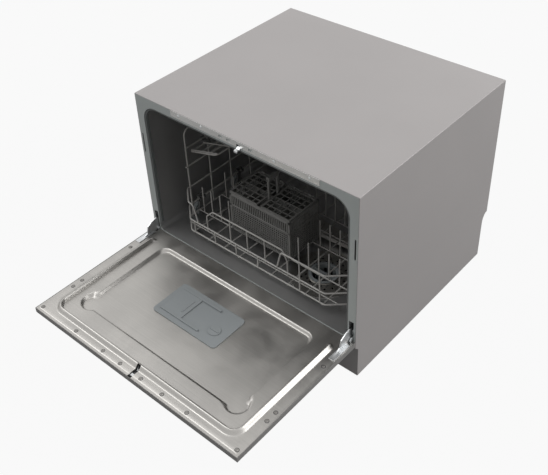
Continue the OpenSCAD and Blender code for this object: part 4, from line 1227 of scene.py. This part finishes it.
@dataclass
class CutleryBasket:
    """The lattice basket with its band of slots, its dividers, its grip and its two grid lids."""

    width: float = 164.0
    depth: float = 95.0
    high: float = 100.0
    wall: float = 2.4
    corner: Point = (-114.0, 55.0, 132.1)
    pitch: float = 5.2
    pivot_y: float = 92.8
    lugs: tuple[float, ...] = (15.0, 57.0, 101.0, 143.0)

    def to(self, x: float, y: float, z: float) -> Vector:
        """Basket millimetres as metres."""
        return rack_at(self.corner[0] + x, self.corner[1] + y, self.corner[2] + z)

    def bars(self, spots: Iterable[Point], size: Point) -> bpy.types.Object:
        """Equal bars at places in basket millimetres."""
        return repeat("bars", [self.to(*p) for p in spots], Finish.BASKET,
                      X=size[0] * MM, Y=size[1] * MM, Z=size[2] * MM)

    def frame_solids(self) -> bpy.types.Object:
        """Rim, bands, corner posts, dividers, hinge lugs and grip."""
        w, d, h, t = self.width, self.depth, self.high, self.wall
        solid = Solids()
        for low, high in ((0.0, 5.0), (66.0, 70.5), (92.0, h)):
            for a, b in (((0, 0), (w, t)), ((0, d - t), (w, d)), ((0, t), (t, d - t)), ((w - t, t), (w, d - t))):
                solid.block((*a, low), (*b, high), self.to)
        for x in (0.0, w - 5):
            for y in (0.0, d - 5):
                solid.block((x, y, 1), (x + 5, y + 5, h - 1), self.to)
        for i in (1, 2, 3):
            x = i * (w - t) / 4
            solid.block((x, t, 2), (x + t, d - t, h - 2), self.to)
        solid.block((t, d / 2 - t / 2, 2), (w - t, d / 2 + t / 2, h - 2), self.to)
        for x in self.lugs:
            solid.block((x - 3, d - t, h - 6), (x + 3, d, h + 2), self.to)
            solid.lathe([(1.5, -3), (3.0, -3), (3.0, 3), (1.5, 3)], self.to(x, self.pivot_y, h + 1.7),
                        Vector((1, 0, 0)), 20)
        mid = w / 2
        for y in (d / 2 - 16, d / 2 + 11):
            solid.block((mid - 2.4, y, h - 20), (mid + 2.4, y + 5, h + 50), self.to)
        solid.block((mid - 4.4, d / 2 - 16, h + 47), (mid + 4.4, d / 2 + 16, h + 54), self.to)
        return solid.piece("basket_frame", 0.5, 2)

    def build(self) -> None:
        """Build the basket and its lids."""
        w, d, t, p = self.width, self.depth, self.wall, self.pitch
        nx, ny = round((w - 10) / p), round((d - 10) / p)
        xs = [5 + (i + 0.5) * (w - 10) / nx for i in range(nx)]
        ys = [5 + (i + 0.5) * (d - 10) / ny for i in range(ny)]
        zs = [5 + (i + 0.5) * 61 / 12 for i in range(12)]
        parts = [self.frame_solids()]
        faces_y, faces_x = (t / 2, d - t / 2), (t / 2, w - t / 2)
        parts.append(self.bars([(x, y, 35.5) for x in xs for y in faces_y], (1.5, t * 0.8, 62)))
        parts.append(self.bars([(x, y, 35.5) for y in ys for x in faces_x], (t * 0.8, 1.5, 62)))
        parts.append(self.bars([(w / 2, y, z) for z in zs for y in faces_y], (w - 8, t * 0.6, 1.5)))
        parts.append(self.bars([(x, d / 2, z) for z in zs for x in faces_x], (t * 0.6, d - 8, 1.5)))
        parts.append(self.bars([(x, y, 81.2) for x in xs for y in faces_y], (2.3, t, 22)))
        parts.append(self.bars([(x, y, 81.2) for y in ys for x in faces_x], (t, 2.3, 22)))
        parts.append(self.bars([(x, d / 2, 1.0) for x in xs], (1.5, d - 4, 2.0)))
        parts.append(self.bars([(w / 2, y, 1.0) for y in ys], (w - 4, 1.5, 1.6)))
        place(join(parts, "lattice_basket"), "cutlery_basket", Finish.BASKET, ["cutlery_basket"])
        self.lid("left", 1.0)
        self.lid("right", w / 2 + 5)

    def lid(self, name: str, x0: float) -> None:
        """One grid lid with its hinge rod."""
        w, d = self.width / 2 - 6, self.pivot_y - 4
        z0, z1 = self.high + 0.3, self.high + 2.7
        solid = Solids()
        for low, high in (((0, 1), (w, 4.4)), ((0, d - 3.4), (w, d)), ((0, 4.4), (3.4, d - 3.4)),
                          ((w - 3.4, 4.4), (w, d - 3.4))):
            solid.block((x0 + low[0], low[1], z0), (x0 + high[0], high[1], z1), self.to)
        for x in (3.0, w / 2 - 3, w - 9):
            solid.block((x0 + x, d - 1, z0 + 0.3), (x0 + x + 6, self.pivot_y, z1), self.to)
        solid.lathe([(0, 3), (1.4, 3), (1.4, w - 3), (0, w - 3)], self.to(x0, self.pivot_y, z0 + 1.4),
                    Vector((1, 0, 0)), 16)
        parts = [solid.piece("lid_frame", 0.4, 2)]
        parts.append(self.bars([(x0 + i * w / 5, d / 2, z0 + 1.2) for i in (1, 2, 3, 4)], (2.0, d - 4, 2.2)))
        parts.append(self.bars([(x0 + w / 2, 1 + i * (d - 1) / 6, z0 + 1.2) for i in (1, 2, 3, 4, 5)],
                               (w - 4, 1.8, 1.9)))
        place(join(parts, f"grid_lid_{name}"), f"basket_lid_{name}", Finish.BASKET, [f"basket_lid_{name}"])


@dataclass
class Fittings:
    """Screws, the lit display, the rear connections and the feet."""

    back: float = 464.0
    sheet: float = 1.0
    flange: float = -2.0
    flange_x: float = 264.0
    side_rows: tuple[float, ...] = (83, 215, 238, 313)
    edge_z: float = 313.0
    edge_row: tuple[float, ...] = (-160, -80, -31, 26, 82, 145)
    strip: tuple[float, float] = (-0.75, 443)
    strip_row: tuple[float, ...] = (-150, -90, 90, 170)
    window: tuple[float, float] = (-33.45, 258)
    keys: tuple[float, float] = (-34.05, 274)
    key_row: tuple[float, ...] = (-200, -160, 100, 140, 200)
    stroke: float = 4.2
    stroke_w: float = 0.9
    dot: float = 1.1
    lit_deep: float = 0.1
    inlet_at: tuple[float, float] = (185.0, 62.0)
    drain_at: tuple[float, float] = (135.0, 40.0)
    cord_at: tuple[float, float] = (-185.0, 50.0)
    feet_x: tuple[float, float] = (-235, 235)
    feet_y: tuple[float, float] = (40, 424)

    def screws(self) -> None:
        """The screws of the inner door and of the lock strip, with their cross recesses."""
        spots = [door_at(s * self.flange_x, self.flange, z) for s in (-1, 1) for z in self.side_rows]
        spots += [door_at(x, self.flange, self.edge_z) for x in self.edge_row]
        heads = repeat("screws", spots, Finish.SCREW, Radius=3.4 * MM, Height=1.2 * MM)
        heads.name = "liner_screws"
        place(heads, "door", Finish.SCREW, ["door_screws"])
        # Thin dark rings round the liner screws: painted shadow of the dimples round their heads, not real parts.
        shadow_rings = Solids()
        for spot in spots:
            shadow_rings.lathe([(3.1, 0), (4.4, 0), (4.2, 0.14), (3.1, 0.14)], spot, Vector((0, 0, 1)), 24)
        place(shadow_rings.piece("painted_screw_shadows"), "door", Finish.DARK)
        spots = [at(x, *self.strip) for x in self.strip_row]
        heads = repeat("screws", spots, Finish.ZINC, Radius=3.0 * MM, Height=0.9 * MM, Turn=math.pi / 2)
        heads.name = "strip_screws"
        place(heads, "cabinet", Finish.ZINC)

    def inlet(self) -> None:
        """The inlet valve with its threaded nipple."""
        (x, z), b, s = self.inlet_at, self.back, self.sheet
        solid = Solids().block((x - 18, b - s - 44, z - 16), (x + 18, b - s - 3, z + 16))
        back = Vector((0, 1, 0))
        start = at(x, b, z)
        solid.lathe([(9.2, -21), (15.2, -5), (15.2, 1), (12.0, 1), (12.0, 12.2), (11.4, 12.9), (9.2, 12.9)],
                    start, back, 48)
        solid.lathe([(12, -s - 3), (18.2, -s - 3), (18.2, -s), (12, -s)], start, back, 48)
        solid.lathe([(0, 0), (13, 0), (13, 17), (12, 18), (0, 18)], at(x, b - 30, z + 16), Vector((0, 0, 1)), 32)
        thread = repeat("thread", [at(x, b + 2.0, z)], Finish.PALE, Radius=12.2 * MM, Length=9.4 * MM,
                        Turns=5.2, Wire=0.95 * MM)
        place(join([solid.piece("valve", 0.4, 2), thread], "inlet_with_thread"), "cabinet", Finish.PALE,
              ["inlet_valve"])

    def drain(self) -> None:
        """The drain spigot with its barbs, and the cord gland with its ribs."""
        b = self.back
        back = Vector((0, 1, 0))
        barbs = [(7.0, -30), (11.5, -30), (11.5, -4), (14.5, -4), (14.5, -1), (11.5, -1), (11.5, 1), (8.6, 1)]
        for y in (2.4, 5.6, 8.8):
            barbs += [(8.6, y), (9.5, y + 0.4), (8.6, y + 2.6)]
        x, z = self.drain_at
        piece = Solids().lathe(barbs + [(8.4, 11.9), (7.0, 11.9)], at(x, b, z), back, 40).piece("barbs")
        place(piece, "cabinet", Finish.GREY, ["drain_spigot"])
        gland = [(3.6, -9), (9, -9), (9, -5), (12, -5), (12, -1), (9, -1), (9, 0), (12, 0), (12, 3.4), (11.4, 4)]
        for y in (5, 7.4, 9.8):
            gland += [(6.0, y), (7.0, y + 0.3), (7.0, y + 1.2)]
        x, z = self.cord_at
        piece = Solids().lathe(gland + [(6.0, 11.9), (3.6, 11.9)], at(x, b, z), back, 36).piece("ribbed_gland")
        place(piece, "cabinet", Finish.FOOT, ["cord_gland"])

    def feet(self) -> None:
        """Four rubber feet with grooves."""
        solid = Solids()
        foot = [(0, 0.2), (11, 0.2), (12, 0), (14.4, 0), (15, 0.6), (15, 2.0), (14.4, 2.3), (14.4, 2.9),
                (15, 3.2), (14.6, 4.8), (9, 4.8), (9, 8), (0, 8)]
        for x in self.feet_x:
            for y in self.feet_y:
                solid.lathe(foot, at(x, y, 0), Vector((0, 0, 1)), 40)
        place(solid.piece("rubber_feet", flat=40), "cabinet", Finish.FOOT, ["feet"])

    def display(self) -> None:
        """The lit remaining time in seven-segment numerals, and a lamp by each key."""
        spots = {"a": (0, 5), "g": (0, 0), "d": (0, -5), "f": (-2.6, 2.5), "b": (2.6, 2.5), "e": (-2.6, -2.5),
                 "c": (2.6, -2.5)}
        face, mid = self.window
        flat, tall = [], []
        for x, lit in ((-14, "bc"), (0, "fgbc"), (12, "afgcd")):
            for key in lit:
                u, v = spots[key]
                (flat if key in "agd" else tall).append(door_at(x + u, face, mid + v))
        dots = [door_at(-7, face, mid + v) for v in (-2, 2)]
        dots += [door_at(x, *self.keys) for x in self.key_row]
        parts = [repeat("bars", points, Finish.LIT, X=x * MM, Y=y * MM, Z=self.lit_deep * MM)
                 for points, x, y in ((flat, self.stroke, self.stroke_w), (tall, self.stroke_w, self.stroke),
                                      (dots, self.dot, self.dot))]
        place(join(parts, "lit_segments"), "door", Finish.LIT)

    def build(self) -> None:
        """Build them all."""
        for step in (self.display, self.screws, self.inlet, self.drain, self.feet):
            step()


# The tub, its floor and its back wall take the near-black tub steel, which is painted shade.
PLAIN = {"tub": Finish.TUB, "tub_floor": Finish.TUB, "tub_back_wall": Finish.TUB,
         "door_springs": Finish.ZINC, "flat_filter": Finish.STEEL, "control_board": Finish.BOARD}

EASED: tuple[tuple[Finish, dict[str, float]], ...] = (
    (Finish.ZINC, {"hinge_brackets": 0.25, "door_arms": 0.3, "door_strike": 0.2, "latch_hook": 0.2}),
    (Finish.DARK, {"latch_housing": 0.4}),
    (Finish.SEAL, {"tub_seal": 0.8}),
    (Finish.GREY, {"dispenser_body": 0.5, "dispenser_lid": 0.5, "rinse_cap": 0.5}),
    (Finish.SILVER, {f"button_{key}": 0.5 for key in ("power", "program", "delay", "dry", "start")}),
    (Finish.BLACK, {"display_window": 0.3}),
    (Finish.CLIP, {"shelf_clips": 0.4}),
    (Finish.STEEL, {"spray_arm": 0.8}),
    (Finish.GREY, {"filter_cup": 0.3}),
    (Finish.DARK, {"sump": 0.5}),
    (Finish.GREY, {"spray_bearing": 0.4}),
    (Finish.DARK, {"base_pan": 0.4, "wash_pump": 0.8, "drain_pump": 0.8}),
    (Finish.ZINC, {"heater": 0.5}))


def dress_nodes() -> None:
    """Give the CAD nodes that stay as they are their finish, and ease those with plain edges."""
    for name, finish in PLAIN.items():
        mesh = frame["nodes"][name].data
        mesh.materials.clear()
        mesh.materials.append(finish.material())
        LOG.info("%s: %s", name, finish.name)
    for finish, widths in EASED:
        for node, width in widths.items():
            eased(node, finish, width)


# ---- studio ----


@dataclass
class Studio:
    """Camera, floor, lamps and sky."""

    place: Point = (0.8993, -0.9604, 1.2890)
    azimuth: float = 42.62
    elevation: float = 37.19
    roll: float = -2.73
    lens: float = 55.22
    shift_y: float = -0.0867

    def camera(self) -> None:
        """The camera at the photograph's angle."""
        a, e = math.radians(self.azimuth), math.radians(self.elevation)
        back = Vector((math.sin(a) * math.cos(e), -math.cos(a) * math.cos(e), math.sin(e)))
        right = (-back).cross(Vector((0, 0, 1))).normalized()
        up = right.cross(-back).normalized()
        r = math.radians(self.roll)
        across = right * math.cos(r) + up * math.sin(r)
        above = up * math.cos(r) - right * math.sin(r)
        data = bpy.data.cameras.new("camera")
        data.lens, data.sensor_width, data.shift_y = self.lens, 36.0, self.shift_y
        data.clip_start, data.clip_end = 0.05, 60.0
        camera = bpy.data.objects.new("camera", data)
        bpy.context.scene.collection.objects.link(camera)
        camera.matrix_world = Matrix.Translation(self.place) @ Matrix((across, above, back)).transposed().to_4x4()
        bpy.context.scene.camera = camera

    def lamp(self, name: str, spot: Point, aim: Point, size: float, power: float) -> None:
        """A soft square lamp.

        Args:
            name: Its name.
            spot: Its place.
            aim: The point that it faces.
            size: Its side in metres.
            power: Its power in watts.
        """
        data = bpy.data.lights.new(name, "AREA")
        data.energy, data.size, data.shape = power, size, "SQUARE"
        lamp = bpy.data.objects.new(name, data)
        bpy.context.scene.collection.objects.link(lamp)
        lamp.location = spot
        lamp.rotation_mode = "QUATERNION"
        lamp.rotation_quaternion = (Vector(aim) - Vector(spot)).to_track_quat("-Z", "Y")

    def sky(self) -> None:
        """A pale sky that shows white to the camera, to metal and to glass."""
        world = bpy.data.worlds.new("sky")
        bpy.context.scene.world = world
        world.use_nodes = True
        g = Graph(world.node_tree)
        seen = g.seen(0.9)
        way = g.node("ShaderNodeSeparateXYZ", None, {0: g.add("ShaderNodeTexCoord", out="Generated")})
        sky = Term(g, way.outputs["Y"]) * 0.16 + Term(g, way.outputs["Z"]) * 0.1 + 0.46
        level = (1 - seen) * sky + seen
        shade = g.add("ShaderNodeBackground", None, {"Color": (1.0, 1.0, 1.0), "Strength": level})
        g.node("ShaderNodeOutputWorld", None, {"Surface": shade})

    def floor(self) -> None:
        """A plain white floor that keeps a soft shadow."""
        mesh = mesh_of([(-6, -6, 0), (6, -6, 0), (6, 6, 0), (-6, 6, 0)], [(0, 1, 2, 3)], "floor")
        floor = link(mesh, "floor")
        skin = Skin("floor_paper")
        fleck = skin.noise(30.0, 3.0)
        matte = skin.add("ShaderNodeBsdfDiffuse", None,
                         {"Color": skin.tint(fleck, (0.13, 0.13, 0.13), (0.15, 0.15, 0.15)), "Roughness": 1.0})
        glow = skin.add("ShaderNodeEmission", None, {"Color": (1.0, 1.0, 1.0), "Strength": 1.0})
        mixed = skin.add("ShaderNodeMixShader", None, {0: skin.seen(0.35) * 0.94, 1: matte, 2: glow})
        skin.node("ShaderNodeOutputMaterial", None, {"Surface": mixed})
        skin.material.cycles.emission_sampling = "NONE"
        mesh.materials.append(skin.material)

    def build(self) -> None:
        """Set the stage."""
        self.camera()
        self.sky()
        self.floor()
        self.lamp("key", (-1.5, -1.0, 2.7), (0, 0, 0.3), 1.9, 35.0)
        self.lamp("side", (2.4, 1.2, 1.6), (0.27, 0.2, 0.35), 1.8, 46.0)
        self.lamp("back", (0.3, 2.2, 2.2), (0, 0.1, 0.3), 1.6, 12.0)
        bpy.context.scene.view_settings.view_transform = "Standard"


def main() -> None:
    """Dress the model, piece by piece."""
    logging.basicConfig(level=logging.INFO, format="%(name)s: %(message)s")
    for part in (Studio, Case, DoorLiner, WireRack, Wheels, CutleryBasket, Fittings):
        part().build()
    dress_nodes()


if __name__ == "__main__":
    main()
